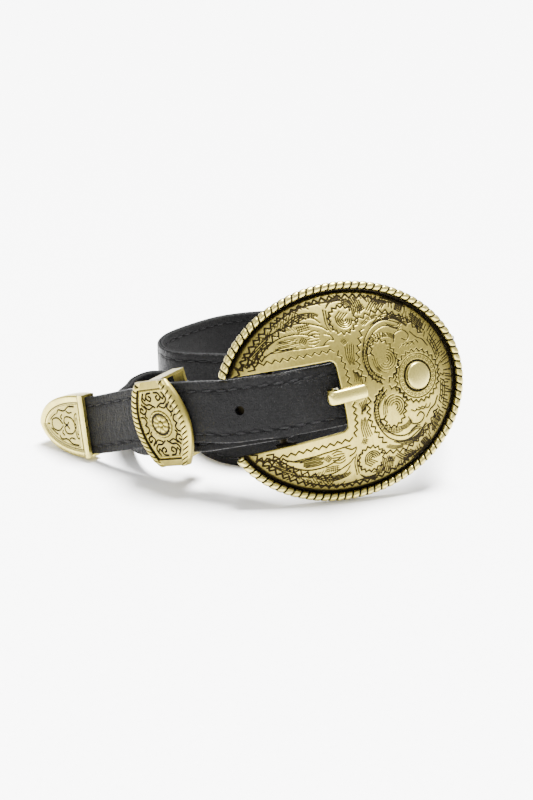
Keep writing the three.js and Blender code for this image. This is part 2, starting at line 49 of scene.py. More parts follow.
# ---- the camera ---------------------------------------------------------------------------------
CAMERA_PLACE = (0.009875, -0.4885, 0.20706)
CAMERA_TILT = 68
CAMERA_LENS = 50.5

camera_data = bpy.data.cameras.new("camera")
camera_data.lens = CAMERA_LENS
camera_data.sensor_width = 36
camera_data.clip_start = 0.01
camera = bpy.data.objects.new("camera", camera_data)
camera.location = CAMERA_PLACE
camera.rotation_euler = (math.radians(CAMERA_TILT), 0, 0)
bpy.context.scene.collection.objects.link(camera)
bpy.context.scene.camera = camera

# ---- sizes shared with the CAD model, in millimetres ------------------------------------------
STRAP_HALF = 12.5
STRAP_THICK = 3.2
BUCKLE_LONG = 50.0
OVAL = 41.85 / 50.0
ROPE_RADIUS = 1.65
PANEL_LONG = (BUCKLE_LONG * OVAL - ROPE_RADIUS - 0.3) / OVAL
DOME_HEIGHT = 12.0
NECK_RADIUS = 24.4
PLATE_THICK = 2.0
NOTCH_X = -3.0
NOTCH_INNER = 14.0
NOTCH_MOUTH = 16.0
NOTCH_CORNER = 2.5
BAR_X = -27.0
BAR_Z = -1.8
BAR_SLOPE = math.radians(30)
WRAP = 3.5
BOSS_X = 29.8
FLAP_LENGTH = 31.0
SNAPS_AT = (12.0, 24.0)
STAND = 12.5

# ---- places -------------------------------------------------------------------------------------
JOINTS = {joint["name"]: joint for joint in frame["joints"]}


def turn(axis, degrees):
    return Quaternion(axis, math.radians(degrees))


BUCKLE_TURN = turn((0, 0, 1), 13.1) @ turn((1, 0, 0), 90 - 16.6) @ turn((0, 0, 1), 8.8)
BAR_LOCAL = Vector((BAR_X, 0, BAR_Z))
BAR_AT = Vector(JOINTS["buckle_swing"]["pos_m"]) / MM
BUCKLE_AT = BAR_AT - BUCKLE_TURN @ BAR_LOCAL
BENCH = BUCKLE_AT - Vector((30, -74.8, 42.9))     # from the bench's frame to the row's
BUCKLE_UP = BUCKLE_TURN @ Vector((0, 1, 0))


def on_buckle(x, y, z):
    return BUCKLE_AT + BUCKLE_TURN @ Vector((x, y, z))


def bench(x, y, z=STAND):
    return BENCH + Vector((x, y, z))


def place(origin, x_axis, y_axis, z_axis):
    """The matrix, in millimetres, of a frame with these axes."""
    matrix = Matrix((x_axis, y_axis, z_axis)).transposed().to_4x4()
    matrix.translation = origin
    return matrix


BUCKLE = place(BUCKLE_AT, *(BUCKLE_TURN @ Vector(a) for a in ((1, 0, 0), (0, 1, 0), (0, 0, 1))))


# ---- materials ----------------------------------------------------------------------------------
def new_material(name):
    material = bpy.data.materials.new(name)
    material.use_nodes = True
    tree = material.node_tree
    shader = tree.nodes["Principled BSDF"]
    return material, tree, shader


def node(tree, kind, **values):
    made = tree.nodes.new(kind)
    for key, value in values.items():
        if hasattr(made, key):
            setattr(made, key, value)
        else:
            made.inputs[key.replace("_", " ")].default_value = value
    return made


def noise(tree, scale, detail=4.0, rough=0.55, stretch=(1, 1, 1)):
    coords = tree.nodes.new("ShaderNodeTexCoord")
    mapping = tree.nodes.new("ShaderNodeMapping")
    mapping.inputs["Scale"].default_value = stretch
    tree.links.new(coords.outputs["Object"], mapping.inputs["Vector"])
    made = node(tree, "ShaderNodeTexNoise", Scale=scale, Detail=detail, Roughness=rough)
    tree.links.new(mapping.outputs["Vector"], made.inputs["Vector"])
    return made.outputs["Fac"]


def cells(tree, scale, feature="F1"):
    coords = tree.nodes.new("ShaderNodeTexCoord")
    made = node(tree, "ShaderNodeTexVoronoi", feature=feature, Scale=scale)
    tree.links.new(coords.outputs["Object"], made.inputs["Vector"])
    return made.outputs["Distance"]


def ramp(tree, source, stops):
    made = tree.nodes.new("ShaderNodeValToRGB")
    points = made.color_ramp.elements
    while len(points) < len(stops):
        points.new(0.5)
    for point, (at, colour) in zip(points, stops):
        point.position = at
        point.color = (*colour, 1) if isinstance(colour, tuple) else (colour, colour, colour, 1)
    tree.links.new(source, made.inputs["Fac"])
    return made.outputs["Color"]


def mix(tree, factor, first, second, blend="MIX"):
    made = tree.nodes.new("ShaderNodeMix")
    made.data_type = "RGBA"
    made.blend_type = blend
    for socket, value in ((made.inputs[0], factor), (made.inputs[6], first), (made.inputs[7], second)):
        if isinstance(value, bpy.types.NodeSocket):
            tree.links.new(value, socket)
        elif isinstance(value, tuple):
            socket.default_value = (*value, 1)
        else:
            socket.default_value = value
    return made.outputs[2]


def bump(tree, shader, heights):
    """Chains bumps: each is (height socket, strength, distance in metres)."""
    normal = None
    for height, strength, distance in heights:
        made = node(tree, "ShaderNodeBump", Strength=strength, Distance=distance)
        tree.links.new(height, made.inputs["Height"])
        if normal is not None:
            tree.links.new(normal, made.inputs["Normal"])
        normal = made.outputs["Normal"]
    tree.links.new(normal, shader.inputs["Normal"])


def antique_brass(name, light, deep, rough=0.30):
    """Brass darkened where a mesh attribute says: patina in the engraving and hollows, and painted shade on
    the prong's sides and barrel.
    """
    material, tree, shader = new_material(name)
    shader.inputs["Metallic"].default_value = 1.0
    cloud = noise(tree, 90, 5)
    tone = mix(tree, ramp(tree, cloud, [(0.35, 0.0), (0.7, 0.45)]), light, deep)
    scuffs = noise(tree, 900, 3, 0.7, (1, 1, 0.15))
    tone = mix(tree, ramp(tree, scuffs, [(0.48, 0.0), (0.68, 0.35)]), tone, deep)
    specks = noise(tree, 2400, 2, 0.6)
    tone = mix(tree, ramp(tree, specks, [(0.55, 0.0), (0.75, 0.4)]), tone, deep)
    dark = tree.nodes.new("ShaderNodeAttribute")
    dark.attribute_name = "patina_and_shade"
    speckle = noise(tree, 1500, 3, 0.6)
    amount = tree.nodes.new("ShaderNodeMath")
    amount.operation = "MULTIPLY_ADD"
    tree.links.new(speckle, amount.inputs[0])
    amount.inputs[1].default_value = 0.30
    tree.links.new(dark.outputs["Fac"], amount.inputs[2])
    covered = ramp(tree, amount.outputs[0], [(0.12, 0.0), (0.8, 1.0)])
    colour = mix(tree, covered, tone, (0.010, 0.0075, 0.0035))
    tree.links.new(colour, shader.inputs["Base Color"])
    rougher = mix(tree, covered, ramp(tree, cloud, [(0.3, rough - 0.06), (0.75, rough + 0.1)]),
                  (0.62, 0.62, 0.62))
    tree.links.new(rougher, shader.inputs["Roughness"])
    bump(tree, shader, [(noise(tree, 350, 4), 0.10, 0.0004), (scuffs, 0.05, 0.0002)])
    return material


def leather(name, base, worn, rough, pebble, grain):
    material, tree, shader = new_material(name)
    shader.inputs["Specular IOR Level"].default_value = 0.11
    patch = noise(tree, 60, 4)
    pores = cells(tree, pebble)
    wrinkle = noise(tree, grain, 6, 0.62, (1.0, 1.0, 0.35))
    tone = mix(tree, ramp(tree, patch, [(0.35, 0.0), (0.72, 1.0)]), base, worn)
    tone = mix(tree, ramp(tree, pores, [(0.25, 0.0), (0.75, 0.55)]), tone,
               tuple(0.35 * c for c in base))
    tree.links.new(tone, shader.inputs["Base Color"])
    tree.links.new(ramp(tree, wrinkle, [(0.3, rough - 0.08), (0.75, rough + 0.12)]),
                   shader.inputs["Roughness"])
    creases = cells(tree, pebble * 0.33, "DISTANCE_TO_EDGE")
    folds = ramp(tree, creases, [(0.0, 0.0), (0.16, 1.0)])
    bump(tree, shader, [(wrinkle, 0.9, 0.0010), (folds, 0.5, 0.00025), (pores, 0.5, 0.0003)])
    return material


BRASS_LIGHT = (0.43, 0.355, 0.085)
BRASS_DEEP = (0.165, 0.128, 0.028)
BRASS = antique_brass("antique_brass", BRASS_LIGHT, BRASS_DEEP)
POLISHED = antique_brass("polished_brass", (0.62, 0.53, 0.15), (0.34, 0.28, 0.07), 0.26)
DARK_BRASS = antique_brass("dark_brass", (0.24, 0.19, 0.05), (0.10, 0.077, 0.02), 0.36)
# painted shade: near-black brass for the lugs and crossbar in the dark notch, and for the snaps
SHADE_PAINTED_BRASS = antique_brass("shade_painted_brass", (0.035, 0.028, 0.014), (0.015, 0.012, 0.007), 0.5)
FACE = leather("face_leather", (0.0012, 0.0012, 0.0013), (0.003, 0.003, 0.003), 0.36, 2600, 700)
LINING = leather("lining_leather", (0.0025, 0.0025, 0.0025), (0.005, 0.0049, 0.0047), 0.55, 3400, 1300)


def thread_material():
    material, tree, shader = new_material("thread")
    shader.inputs["Specular IOR Level"].default_value = 0.12
    twist = noise(tree, 4500, 2, 0.5, (1, 1, 4))
    tree.links.new(ramp(tree, twist, [(0.4, (0.001, 0.001, 0.001)), (0.8, (0.02, 0.02, 0.021))]),
                   shader.inputs["Base Color"])
    tree.links.new(ramp(tree, twist, [(0.3, 0.28), (0.8, 0.55)]), shader.inputs["Roughness"])
    bump(tree, shader, [(twist, 0.6, 0.0003)])
    return material


THREAD = thread_material()


def repaint(name, material):
    cad = frame["nodes"][name]
    cad.data.materials.clear()
    cad.data.materials.append(material)


# ---- meshes -------------------------------------------------------------------------------------
def piece(name, vertices, faces, material, body, matrix=None, patina_and_shade=None, sharp=40, slot=None):
    """A mesh in millimetres, placed by matrix, that rides on a CAD body."""
    points = np.asarray(vertices, float).reshape(-1, 3)
    if matrix is not None:
        m = np.array(matrix)
        points = points @ m[:3, :3].T + m[:3, 3]
    mesh = bpy.data.meshes.new(name)
    mesh.from_pydata((points * MM).tolist(), [], faces)
    mesh.validate()
    if patina_and_shade is not None:
        layer = mesh.attributes.new("patina_and_shade", "FLOAT", "POINT")
        layer.data.foreach_set("value", np.asarray(patina_and_shade, np.float32))
    mesh.shade_smooth()
    mesh.set_sharp_from_angle(angle=math.radians(sharp))
    mesh.materials.append(material)
    made = bpy.data.objects.new(name, mesh)
    bpy.context.scene.collection.objects.link(made)
    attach(made, body)
    return made


def grid_faces(rows, columns, closed=False):
    """Quads of a grid of rows x columns points; closed joins the last column to the first."""
    last = columns if closed else columns - 1
    row, column = np.meshgrid(np.arange(rows - 1), np.arange(last), indexing="ij")
    a = row * columns + column
    b = row * columns + (column + 1) % columns
    quads = np.stack([a, b, b + columns, a + columns], -1).reshape(-1, 4)
    return quads.tolist()


def capped_faces(rows, around):
    """Faces of a closed grid, with its first and last rings closed by a face each."""
    ends = [list(range(around))[::-1], [(rows - 1) * around + k for k in range(around)]]
    return grid_faces(rows, around, closed=True) + ends


def tube(centres, side, up, radius, around, grooves=None):
    """A closed tube along points; side and up span each section; grooves(step, angle) scales it."""
    angles = np.linspace(0, 2 * math.pi, around, endpoint=False)
    steps = len(centres)
    scale = np.ones((steps, around))
    if grooves is not None:
        scale = grooves(np.arange(steps)[:, None], angles[None, :])
    ring = (np.cos(angles)[None, :, None] * side[:, None, :]
            + np.sin(angles)[None, :, None] * up[:, None, :])
    points = centres[:, None, :] + radius * scale[:, :, None] * ring
    faces = capped_faces(steps, around)
    return points.reshape(-1, 3), faces, scale


# ---- engraving: grooves cut into a height map ---------------------------------------------------
class Engraving:
    """Strokes on a plane, in millimetres. Each stroke is a polyline with a width and a depth."""

    def __init__(self, seed):
        self.strokes = []
        self.random = random.Random(seed)

    def line(self, points, width=0.34, depth=0.3):
        self.strokes.append((np.asarray(points, float), width, depth))

    def curve(self, points, width=0.34, depth=0.3, step=0.5):
        """A smooth curve through the points."""
        self.line(smooth(points, step), width, depth)

    def zigzag(self, points, pitch=3.0, height=0.75, width=0.36, depth=0.32):
        """A wriggle line that follows a curve."""
        path = smooth(points, 0.25)
        steps = np.linalg.norm(np.diff(path, axis=0), axis=1)
        length = np.concatenate([[0], np.cumsum(steps)])
        count = max(2, round(length[-1] / pitch * 2))
        at = np.linspace(0, length[-1], count + 1)
        x = np.interp(at, length, path[:, 0])
        y = np.interp(at, length, path[:, 1])
        along = np.stack([np.gradient(x), np.gradient(y)], -1)
        along /= np.linalg.norm(along, axis=1, keepdims=True)
        swing = np.where(np.arange(count + 1) % 2 == 0, height, -height)
        self.line(np.stack([x - along[:, 1] * swing, y + along[:, 0] * swing], -1), width, depth)

    def arc(self, centre, radius, start, end, width=0.34, depth=0.3, squash=1.0):
        angles = np.radians(np.linspace(start, end, max(6, int(abs(end - start) / 8))))
        self.line(np.stack([centre[0] + radius * np.cos(angles),
                            centre[1] + squash * radius * np.sin(angles)], -1), width, depth)

    def fan(self, first, second, count, width=0.3, depth=0.26):
        """Strokes that turn evenly from one curve into another."""
        a, b = smooth(first, 0.5), smooth(second, 0.5)
        share = np.linspace(0, 1, 14)
        a = np.stack([np.interp(share, np.linspace(0, 1, len(a)), a[:, k]) for k in (0, 1)], -1)
        b = np.stack([np.interp(share, np.linspace(0, 1, len(b)), b[:, k]) for k in (0, 1)], -1)
        for number in range(count):
            part = number / max(1, count - 1)
            cut = self.random.uniform(0, 0.18)
            keep = slice(int(cut * 14), 14 - int(self.random.uniform(0, 0.22) * 14))
            self.line((a * (1 - part) + b * part)[keep], width, depth)

    def hatch(self, centre, size, angle, pitch=0.9, width=0.24, depth=0.24):
        """A patch of crossed strokes."""
        c, s = math.cos(math.radians(angle)), math.sin(math.radians(angle))
        for half, other, flip in ((size[0] / 2, size[1] / 2, 0), (size[1] / 2, size[0] / 2, 1)):
            for offset in np.arange(-half, half + 0.01, pitch):
                ends = [(offset, -other), (offset, other)]
                if flip:
                    ends = [(-other, offset), (other, offset)]
                self.line([(centre[0] + c * x - s * y, centre[1] + s * x + c * y) for x, y in ends],
                          width, depth)

    def band_hatch(self, centre, inner, outer, start, end, pitch=1.0, width=0.24, depth=0.24):
        """Crossed strokes that fill a curved band."""
        for radius in np.arange(inner, outer + 0.01, (outer - inner) / 3):
            self.arc(centre, radius, start, end, width, depth)
        count = int(abs(end - start) * math.pi / 180 * (inner + outer) / 2 / pitch)
        for angle in np.radians(np.linspace(start, end, count)):
            self.line([(centre[0] + r * math.cos(angle), centre[1] + r * math.sin(angle))
                       for r in (inner, outer)], width, depth)

    def mirror(self):
        """Adds every stroke again on the other side of the x axis."""
        for points, width, depth in list(self.strokes):
            self.strokes.append((points * (1, -1), width, depth))

    def depths(self, x, y):
        """The groove depth at each point of the grids x and y (rows share y, columns share x)."""
        found = np.zeros_like(x)
        columns, rows = x[0], y[:, 0]
        for points, width, depth in self.strokes:
            for a, b in zip(points[:-1], points[1:]):
                low, high = np.minimum(a, b) - width, np.maximum(a, b) + width
                c0, c1 = np.searchsorted(columns, (low[0], high[0]))
                r0, r1 = np.searchsorted(rows, (low[1], high[1]))
                if c0 == c1 or r0 == r1:
                    continue
                patch = np.s_[r0:r1, c0:c1]
                along = b - a
                square = max(1e-9, float(along @ along))
                dx, dy = x[patch] - a[0], y[patch] - a[1]
                share = np.clip((dx * along[0] + dy * along[1]) / square, 0, 1)
                away = np.hypot(dx - share * along[0], dy - share * along[1])
                cut = depth * np.clip(1.25 - (away / width) * 1.25, 0, 1)
                found[patch] = np.maximum(found[patch], cut)
        return found


def smooth(points, step):
    """Points along a Catmull-Rom curve through the given points."""
    p = np.asarray(points, float)
    if len(p) == 2:
        return p
    ends = np.vstack([2 * p[0] - p[1], p, 2 * p[-1] - p[-2]])
    out = []
    for k in range(1, len(ends) - 2):
        a, b, c, d = ends[k - 1:k + 3]
        count = max(2, int(np.linalg.norm(c - b) / step))
        for t in np.linspace(0, 1, count, endpoint=False):
            out.append(0.5 * (2 * b + (c - a) * t + (2 * a - 5 * b + 4 * c - d) * t * t
                              + (3 * b - a - 3 * c + d) * t ** 3))
    out.append(p[-1])
    return np.array(out)


# ---- the buckle plate ---------------------------------------------------------------------------
def ellipse_point(radius, degrees):
    angle = math.radians(degrees)
    return radius * math.cos(angle), radius * OVAL * math.sin(angle)


def ellipse_path(radius, start, end, step=6):
    count = max(3, int(abs(end - start) / step))
    return [ellipse_point(radius, a) for a in np.linspace(start, end, count)]


def medallion(art, centre):
    for radius in (6.3, 8.7):
        art.arc(centre, radius, 0, 360, 0.3, 0.28)
    art.arc(centre, 5.75, 0, 360, 0.42, 0.4)
    beads = 26
    for k in range(beads):
        angle = 2 * math.pi * k / beads
        at = (centre[0] + 7.5 * math.cos(angle), centre[1] + 7.5 * math.sin(angle))
        art.arc(at, 0.5, 0, 360, 0.22, 0.2)
    ring = [(centre[0] + 10.1 * math.cos(a), centre[1] + 10.1 * math.sin(a))
            for a in np.linspace(0, 2 * math.pi, 40)]
    art.zigzag(ring, 2.5, 0.6)


def fill_strokes(art):
    """Short strokes that fill the ground between the scrolls."""
    art.fan([(-35, 21.6), (-30, 25.4), (-25, 28.2)], [(-33, 21.0), (-28.6, 23.8), (-24, 26.2)], 4, 0.26, 0.22)
    for left, right, count in (
            ([(-1.0, 33.4), (2.4, 35.8), (7.0, 36.0)], [(0.2, 34.8), (3.0, 36.8), (7.4, 37.2)], 3),
            ([(10.8, 24.6), (15.0, 26.6), (20.4, 27.0)], [(11.4, 23.6), (15.6, 25.6), (20.6, 26.0)], 3),
            ([(22.0, 33.4), (27.0, 30.8), (31.6, 27.0)], [(24.2, 34.4), (29.0, 31.6), (33.0, 28.4)], 5),
            ([(33.6, 24.6), (36.4, 21.2), (38.6, 17.2)], [(31.6, 22.4), (34.2, 19.4), (36.4, 15.6)], 5),
            ([(37.6, 13.4), (39.4, 9.0), (40.2, 4.0)], [(39.6, 14.4), (41.4, 9.4), (42.0, 4.2)], 3),
            ([(15.4, 6.0), (13.8, 8.6), (13.6, 11.4)], [(14.0, 4.8), (12.4, 7.8), (12.0, 11.2)], 3),
            ([(19.0, 19.6), (22.0, 19.0), (24.4, 17.0)], [(18.6, 18.2), (21.4, 17.6), (23.6, 15.6)], 4),
            ([(22.4, 21.4), (26.0, 19.6), (28.6, 20.6)], [(21.6, 22.8), (25.6, 21.0), (28.0, 22.0)], 3),
            ([(9.0, 31.0), (7.6, 33.6), (5.0, 34.4)], [(10.8, 31.8), (9.2, 34.8), (6.6, 36.0)], 4),
    ):
        art.fan(left, right, count, 0.28, 0.24)
    art.hatch((13.4, 31.0), (3.0, 2.2), 20, 0.8)
    art.hatch((29.0, 27.6), (2.6, 2.6), 50, 0.8)
    for k in range(26):
        angle = 60 + 3.3 * k
        radius = 42.4 + 1.2 * (k % 2)
        x0, y0 = ellipse_point(radius, angle)
        x1, y1 = ellipse_point(radius + 1.7, angle + 1.5)
        art.line([(x0, y0), (x1, y1)], 0.26, 0.22)


def plate_engraving():
    art = Engraving(7)
    # wriggle lines along the notch, then along the rim
    art.zigzag([(-40.5, 18.9), (-30, 18.6), (-15, 18.2), (-2.2, 17.8)], 3.1, 0.65)
    art.zigzag([(-1.2, 17.0), (0.2, 12), (0.4, 8), (0.5, 3.4)], 2.7, 0.65)
    art.zigzag(ellipse_path(44.6, 156, 62), 3.2, 0.8)
    art.zigzag(ellipse_path(40.0, 151, 104), 3.2, 1.0)
    art.zigzag([(-39.5, 17.6), (-34, 20.6), (-28.5, 20.2)], 3.0, 1.0)
    for k in range(22):
        angle = 147 - 1.9 * k
        for radius in (41.3, 42.9):
            x, y = ellipse_point(radius + art.random.uniform(-0.3, 0.3), angle)
            art.line([(x - 0.5, y - 0.65), (x + 0.4, y + 0.65)], 0.24, 0.2)
    # the long leaf above the notch
    art.curve([(-31, 20.4), (-27, 24.0), (-21, 26.6), (-14, 26.6), (-8, 24.4)])
    art.curve([(-29, 20.6), (-24, 22.2), (-16, 21.2), (-9, 20.6), (-3.5, 20.2)])
    art.fan([(-26, 21.6), (-20, 21.4), (-14.6, 21.4)], [(-22, 25.2), (-18, 25.4), (-14, 25.0)], 7)
    art.hatch((-12.8, 23.7), (2.2, 2.2), 45, 0.7)
    art.fan([(-11.5, 22.2), (-9, 21.4), (-6.8, 22.2)], [(-11.5, 25.4), (-8, 26.6), (-5.2, 25.2)], 5)
    art.curve([(-5.4, 20.8), (-3, 22.0), (-1.2, 21.6), (-2.0, 23.6), (-4.2, 24.6)])
    # the feather nearer the rim
    art.curve([(-27, 27.6), (-20, 29.8), (-12, 30.4), (-5, 27.8), (-2.4, 25.6)])
    art.hatch((-11.4, 28.4), (5.0, 2.2), 4, 0.85)
    art.fan([(-19, 30.6), (-13, 33.4), (-6, 33.0), (-2.4, 29.8)],
            [(-15, 30.4), (-10, 31.8), (-6.5, 31.2), (-4.4, 28.8)], 4)
    art.fan([(-21.5, 30.4), (-19, 28.8)], [(-15, 29.6), (-14.2, 28.0)], 6, 0.24, 0.2)
    art.curve([(-22, 32.0), (-12, 35.9), (-2, 36.2), (6, 35.6)])
    # the small rosette
    rosette = (4.6, 28.2)
    ring = [(rosette[0] + 5.4 * math.cos(a), rosette[1] + 5.2 * math.sin(a))
            for a in np.linspace(0.6, 2 * math.pi + 0.3, 30)]
    art.zigzag(ring, 2.2, 0.6)
    for radius in (0.8, 1.6, 2.4, 3.2):
        art.arc((rosette[0] + 0.6, rosette[1]), radius, 160, 350)
    art.fan([(2.0, 29.6), (4.6, 31.6)], [(4.2, 28.2), (7.4, 30.4)], 4)
    art.fan([(0.6, 24.2), (-0.6, 28), (0.0, 32.6)], [(-1.4, 24.6), (-2.4, 28), (-1.8, 33.4)], 3)
    # the feather between the notch and the big scroll
    art.zigzag([(7.4, 3.2), (5.9, 8), (6.2, 13), (8.4, 18.2), (11.2, 23.4)], 2.8, 0.75)
    art.fan([(2.6, 10.8), (1.9, 14), (2.4, 18.6)], [(4.8, 10.4), (4.9, 14), (6.4, 19.4)], 5)
    art.fan([(2.6, 4.0), (3.3, 6.4), (2.8, 9.0)], [(5.6, 2.4), (5.6, 5.2), (4.4, 8.2)], 5)
    art.hatch((2.6, 20.2), (2.0, 2.0), 30, 0.7)
    # the big scroll: an outer band, a hatched crescent, a scalloped heart
    scroll = (17.2, 10.8)
    art.zigzag([(14.0, 1.0), (10.6, 3.2), (8.8, 6.6)], 2.4, 0.6)
    art.curve([(13.9, 0.6), (9.6, 4.6), (8.4, 10.6), (10.0, 17.4), (14.6, 22.6), (21.0, 24.4), (27.6, 21.6)])
    art.curve([(15.0, 2.0), (11.0, 5.8), (10.0, 10.8), (11.4, 16.4), (15.2, 20.6), (20.6, 22.2),
               (26.0, 20.0)])
    art.band_hatch(scroll, 7.4, 9.4, 78, 246, 1.1)
    art.zigzag([(9.7, 14.2), (12.4, 12.2), (12.6, 16.0), (16.4, 17.4), (19.8, 15.6), (21.6, 12.0),
                (22.6, 7.6),
                (20.6, 3.6), (16.4, 1.2)], 2.4, 0.65)
    for radius in (1.0, 2.0, 3.0, 4.0):
        art.arc((17.6, 9.4), radius, -80, 70)
        art.arc((17.2, 9.0), radius + 0.4, 200, 275, 0.28, 0.24)
    art.fan([(20.0, 24.8), (26, 23.6), (31.0, 19.0)], [(15.0, 23.6), (22, 26.6), (30.0, 23.6)], 5)
    # leaves between the scroll and the rim
    art.zigzag([(8.6, 26.2), (13.6, 27.6), (20.0, 28.2), (27.0, 25.2), (32.6, 20.4), (36.0, 15.4)], 3.0, 0.8)
    art.fan([(9.4, 29.4), (9.6, 33.0), (8.4, 36.2)], [(13.0, 28.8), (13.8, 32.0), (13.4, 35.6)], 6)
    art.fan([(14.8, 29.2), (18.6, 32.4), (21.6, 32.8)], [(21.6, 28.8), (24.6, 30.6), (27.4, 29.8)], 7)
    art.curve([(22.6, 15.2), (24.2, 18.4), (28.0, 18.8), (30.0, 16.4), (28.4, 14.6), (26.6, 15.8)])
    art.fan([(24.0, 12.4), (26.0, 13.6), (27.4, 12.4)], [(29.4, 12.6), (32.4, 13.8), (34.0, 11.4)], 4)
    art.curve([(31.0, 17.4), (33.2, 14.8), (35.6, 13.4), (37.4, 10.4)])
    for k in range(34):
        angle = 1.6 + 2.0 * k
        start = 42.8 + art.random.uniform(-0.9, 0.6)
        x0, y0 = ellipse_point(start, angle)
        x1, y1 = ellipse_point(start + art.random.uniform(2.0, 3.6), angle + art.random.uniform(0.2, 1.6))
        art.line([(x0, y0), (x1, y1)], 0.26, 0.22)
    for k in range(12):
        angle = 3 + 3.6 * k
        x0, y0 = ellipse_point(40.6, angle)
        x1, y1 = ellipse_point(42.2, angle + 1.8)
        art.line([(x0, y0), (x1, y1)], 0.3, 0.24)
    fill_strokes(art)
    art.mirror()
    medallion(art, (BOSS_X, 0.0))
    return art


def notch_distance(x, y):
    """Signed distance to the notch's outline: below zero inside the notch."""
    slope = (NOTCH_MOUTH - NOTCH_INNER) / (BUCKLE_LONG + NOTCH_X)
    half = NOTCH_INNER + slope * (NOTCH_X - x)
    side = np.abs(y) - half
    end = x - NOTCH_X
    r = NOTCH_CORNER
    corner = np.hypot(np.maximum(end + r, 0), np.maximum(side + r, 0)) - r
    return np.where((end > -r) & (side > -r), corner, np.maximum(side, end))


def plate_height(x, y):
    """The smooth top of the plate: a dome, a dark gutter at its edge and the rope's seat."""
    share = np.hypot(x, y / OVAL) / PANEL_LONG
    dome = DOME_HEIGHT * (1 - share ** 2)
    gutter = np.clip((share - 0.965) / 0.025, 0, 1)
    dome = dome - 0.45 * gutter
    seat = -ROPE_RADIUS - 0.3
    down = np.clip((share - 0.995) / 0.012, 0, 1)
    return dome * (1 - down) + seat * down


def edge_distance(x, y):
    rim = (np.hypot(x, y / OVAL) - BUCKLE_LONG) * OVAL
    return np.maximum(rim, -notch_distance(x, y))


def relief(bounds, step, edge, surface, under, art=None):
    """A plate drawn from above: a fine grid inside the outline where edge(x, y) is below zero.

    surface(x, y, groove) gives the top's height and its patina; under(x, y) gives the back's height."""
    x0, x1, y0, y1 = bounds
    x, y = np.meshgrid(np.arange(x0 - step, x1 + 2 * step, step), np.arange(y0 - step, y1 + 2 * step, step))
    inside = edge(x, y) <= 0
    cell = inside[:-1, :-1] | inside[1:, :-1] | inside[:-1, 1:] | inside[1:, 1:]
    groove = art.depths(x, y) if art else np.zeros_like(x)
    used = np.zeros_like(inside)
    for rows in (np.s_[:-1], np.s_[1:]):
        for columns in (np.s_[:-1], np.s_[1:]):
            used[rows, columns] |= cell
    # points just past the outline move back onto it
    for _ in range(3):
        past = np.where(used, np.maximum(edge(x, y), 0), 0)
        gx = (edge(x + 0.01, y) - edge(x - 0.01, y)) / 0.02
        gy = (edge(x, y + 0.01) - edge(x, y - 0.01)) / 0.02
        steep = np.maximum(gx * gx + gy * gy, 1e-6)
        x = x - past * gx / steep
        y = y - past * gy / steep
    z, patina_and_shade = surface(x, y, groove)
    number = -np.ones(x.shape, int)
    number[used] = np.arange(used.sum())
    top = np.stack([x[used], y[used], z[used]], -1)
    r, c = np.nonzero(cell)
    quads = np.stack([number[r, c], number[r, c + 1], number[r + 1, c + 1], number[r + 1, c]], -1)
    faces = quads.tolist()
    after = open_edges(faces)
    loop = [min(after)]
    while after[loop[-1]] != loop[0]:
        loop.append(after[loop[-1]])
    rim = top[loop]
    base, count = len(top), len(loop)
    low = np.minimum(under(rim[:, 0], rim[:, 1]), rim[:, 2] - 0.05)
    for k in range(count):
        following = (k + 1) % count
        faces.append([loop[following], loop[k], base + k, base + following])
    gx, gy = np.meshgrid(np.arange(x0, x1, 2.4), np.arange(y0, y1, 2.4))
    free = edge(gx, gy) < -1.0
    flat = [Vector(p) for p in np.vstack([rim[:, :2], np.stack([gx[free], gy[free]], -1)])]
    border = [(k, (k + 1) % count) for k in range(count)]
    points, _, triangles, origin, _, _ = delaunay_2d_cdt(flat, border, [], 1, 1e-6)
    index, added = {}, []
    for k, (point, sources) in enumerate(zip(points, origin)):
        on_rim = [source for source in sources if source < count]
        if on_rim:
            index[k] = base + on_rim[0]
        else:
            index[k] = base + count + len(added)
            added.append((point.x, point.y, float(under(point.x, point.y))))
    faces += [[index[k] for k in reversed(triangle)] for triangle in triangles]
    vertices = np.vstack([top, np.column_stack([rim[:, :2], low]), np.array(added).reshape(-1, 3)])
    stain = np.full(len(vertices), 0.35)
    stain[:base] = patina_and_shade[used]
    return vertices, faces, stain


def open_edges(faces):
    """The border of a set of faces, as a table from each point to the next."""
    seen = {(a, b) for face in faces for a, b in zip(face, face[1:] + face[:1])}
    return {a: b for a, b in seen if (b, a) not in seen}


def plate_surface(x, y, groove):
    share = np.hypot(x, y / OVAL) / PANEL_LONG
    near_notch = np.clip(1.0 - np.abs(notch_distance(x, y)) / 0.5, 0, 1)
    z = plate_height(x, y) - 0.35 * near_notch ** 2 - np.where(share < 0.97, groove, 0)
    rim = 0.50 * np.clip((share - 0.60) / 0.38, 0, 1) ** 2.0 + 0.18 * np.clip((share - 0.965) / 0.02, 0, 1)
    return z, np.clip(groove / 0.30 + rim, 0, 1)


def plate_under(x, y):
    return np.maximum(plate_height(x, y) - PLATE_THICK, -ROPE_RADIUS - 0.3 - PLATE_THICK / 2)


def buckle_plate():
    bounds = (-BUCKLE_LONG, BUCKLE_LONG, -BUCKLE_LONG * OVAL, BUCKLE_LONG * OVAL)
    made = relief(bounds, 0.27, edge_distance, plate_surface, plate_under, plate_engraving())
    plate = piece("engraved_plate", *made[:2], BRASS, "buckle", BUCKLE, made[2], 50, "antique_brass")
    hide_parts("buckle_plate")
    return plate


